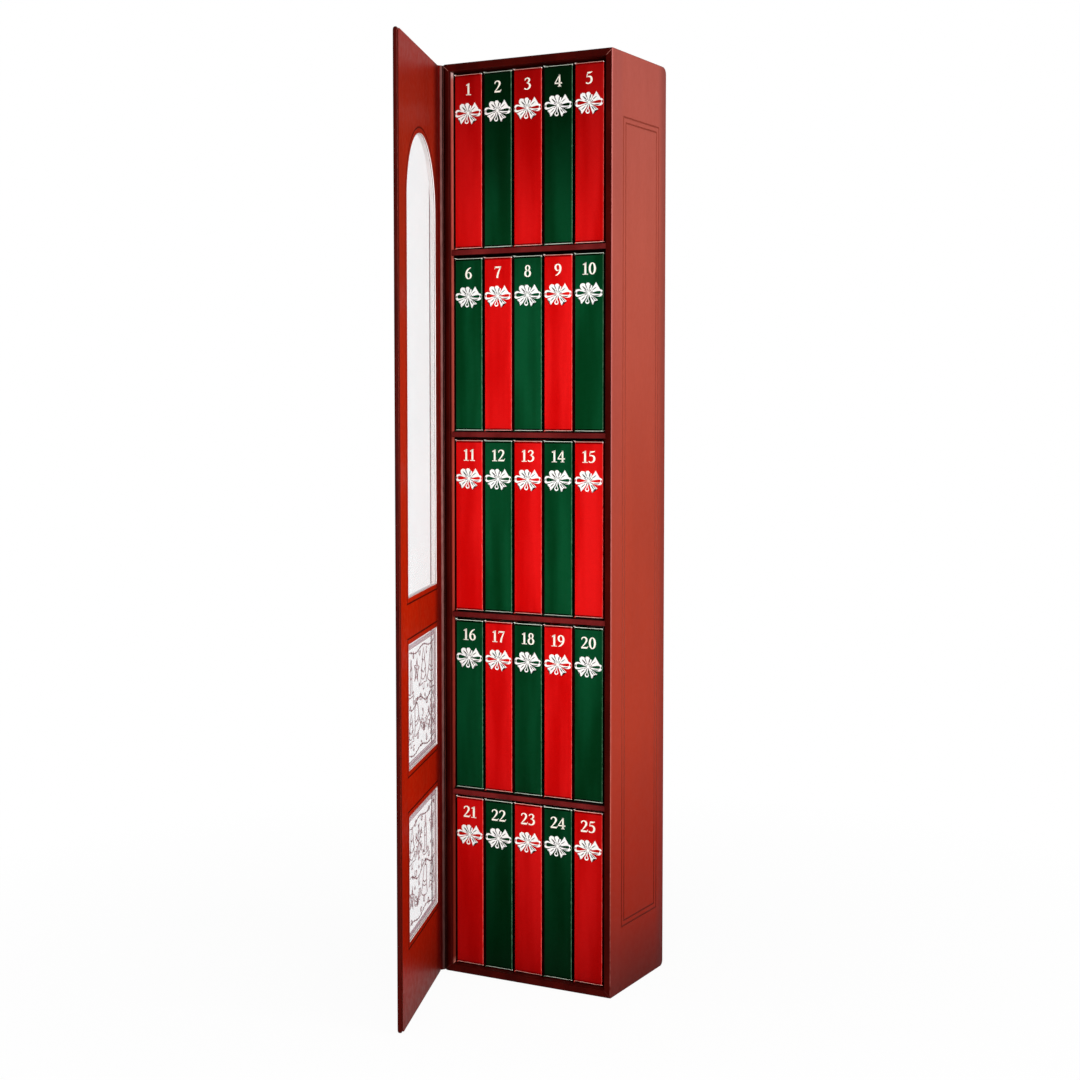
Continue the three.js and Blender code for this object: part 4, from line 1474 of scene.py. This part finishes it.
def hinge_strip():
    """The paper hinge, bent between the left wall and the door."""
    along = Vector((math.cos(DOOR_ANGLE), -math.sin(DOOR_ANGLE), 0))
    through = Vector((math.sin(DOOR_ANGLE), math.cos(DOOR_ANGLE), 0))
    pivot = Vector((HINGE["pos_m"][0], HINGE["pos_m"][1], 0))
    outer = SHEET_FACE - DOOR_BOARD - SEAT - HINGE_STRIP / 2
    wall_x = CASE_LOW.x - SEAT - HINGE_STRIP / 2
    wall_end = Vector((wall_x, CASE_LOW.y + FRONT_CORNER, 0))
    door_start = pivot + along * HINGE_GUTTER + through * outer
    door_end = door_start + along * STRIP_GLUE_WIDTH
    bend = interpolate_bezier(
        wall_end, wall_end + Vector((0, -STRIP_BEND, 0)), door_start - along * STRIP_BEND, door_start,
        STRIP_STEPS + 1,
    )
    path = [Vector((wall_x, CASE_LOW.y + STRIP_GLUE_WIDTH, 0)), *bend]
    path += [door_start.lerp(door_end, quarter / 4) for quarter in range(1, 5)]
    bm = bmesh.new()
    verts = [bm.verts.new(point) for point in path]
    edges = [bm.edges.new(pair) for pair in zip(verts, verts[1:])]
    carry_on(bm, bmesh.ops.extrude_edge_only(bm, edges=edges), (0, 0, DOOR_HEIGHT))
    bmesh.ops.translate(bm, verts=bm.verts, vec=(0, 0, DOOR_LOW.z))
    # The first steps of the bend take painted shade, the next a painted highlight; the rest keeps the dark
    # paper.
    papers = (HINGE_DARK, HINGE_SHADE, HINGE_HIGHLIGHT)
    bands = [HINGE_SHADE] * STRIP_SHADED_STEPS + [HINGE_HIGHLIGHT] * (STRIP_PAINTED_STEPS - STRIP_SHADED_STEPS)
    for face in bm.faces:
        middle = face.calc_center_median().to_2d()
        away = [(middle - (start + end).to_2d() / 2).length for start, end in zip(path, path[1:])]
        step = away.index(min(away)) - 1
        face.material_index = papers.index(bands[step]) if 0 <= step < STRIP_PAINTED_STEPS else 0
    bmesh.ops.solidify(bm, geom=bm.faces[:], thickness=HINGE_STRIP)
    turn_outward(bm)
    centre = sum((v.co for v in bm.verts), Vector()) / len(bm.verts)
    middle = sum((point for point in path), Vector()) / len(path)
    bmesh.ops.translate(bm, verts=bm.verts, vec=(middle.x - centre.x, middle.y - centre.y, 0))
    for face in bm.faces:
        face.smooth = True
    strip = add_object("hinge_paper_strip", bm, papers)
    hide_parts("hinge_strip")
    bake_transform(strip)


# Studio


def studio():
    """Pale floor and plain soft light. Both show as white, but the floor keeps the object's shadow."""
    bm = bmesh.new()
    bmesh.ops.create_grid(bm, x_segments=1, y_segments=1, size=FLOOR_REACH)
    f = Finish("studio_floor", 0.1)
    f.colour(FLOOR_GREY)
    f.feed(f.shader.inputs["Roughness"], FLOOR_ROUGHNESS)
    distance = f.node("VectorMath", f.point, operation="LENGTH").outputs["Value"]
    white = f.math("MULTIPLY", f.node("MapRange", distance, *FLOOR_FADE).outputs[0], f.seen_directly())
    f.show(white, f.shader.outputs[0], f.node("Emission").outputs[0])
    floor = add_object("floor", bm, (f.material,))

    scene.world = bpy.data.worlds.new("studio")
    w = Shading(scene.world)
    lit = w.nodes["Background"]
    w.feed(lit.inputs["Color"], WORLD_COLOUR)
    w.feed(lit.inputs["Strength"], WORLD_LIGHT)
    shown = w.node("Background", linear(1), 1.0)
    w.show(w.seen_directly(), lit.outputs[0], shown.outputs[0])


def lamp(name, place, target, width, height, power):
    """A rectangular soft light aimed at a point."""
    light = bpy.data.lights.new(name, "AREA")
    light.shape = "RECTANGLE"
    light.size, light.size_y = width, height
    light.energy = power
    lit = linked(name, light)
    lit.location = place
    lit.rotation_euler = (Vector(target) - Vector(place)).to_track_quat("-Z", "Y").to_euler()


def camera():
    data = bpy.data.cameras.new("camera")
    data.lens = CAMERA_LENS
    data.sensor_width = CAMERA_SENSOR
    data.shift_y = CAMERA_SHIFT_Y
    data.clip_start, data.clip_end = CAMERA_CLIP
    viewer = linked("camera", data)
    viewer.location = CAMERA_PLACE
    viewer.rotation_euler = (math.pi / 2 - CAMERA_DIP, 0, CAMERA_AZIMUTH)
    scene.camera = viewer


camera()
studio()
for settings in LAMPS:
    lamp(*settings)
scene.view_settings.view_transform = "Standard"

case_shell()
back_board()
for level in range(1, 5):
    shelf(level)
for number in BOOKS:
    book(number)
door_board()
door_lining()
window_sheet()
for level, bottom, figures in (
    ("lower", BOTTOM_RAIL, LOWER_PANEL),
    ("upper", UPPER_PANEL_BOTTOM, UPPER_PANEL),
):
    panel_border(f"{level}_panel_border", bottom)
    panel_print(f"{level}_print", bottom, figures)
hinge_strip()
mitre_lines()
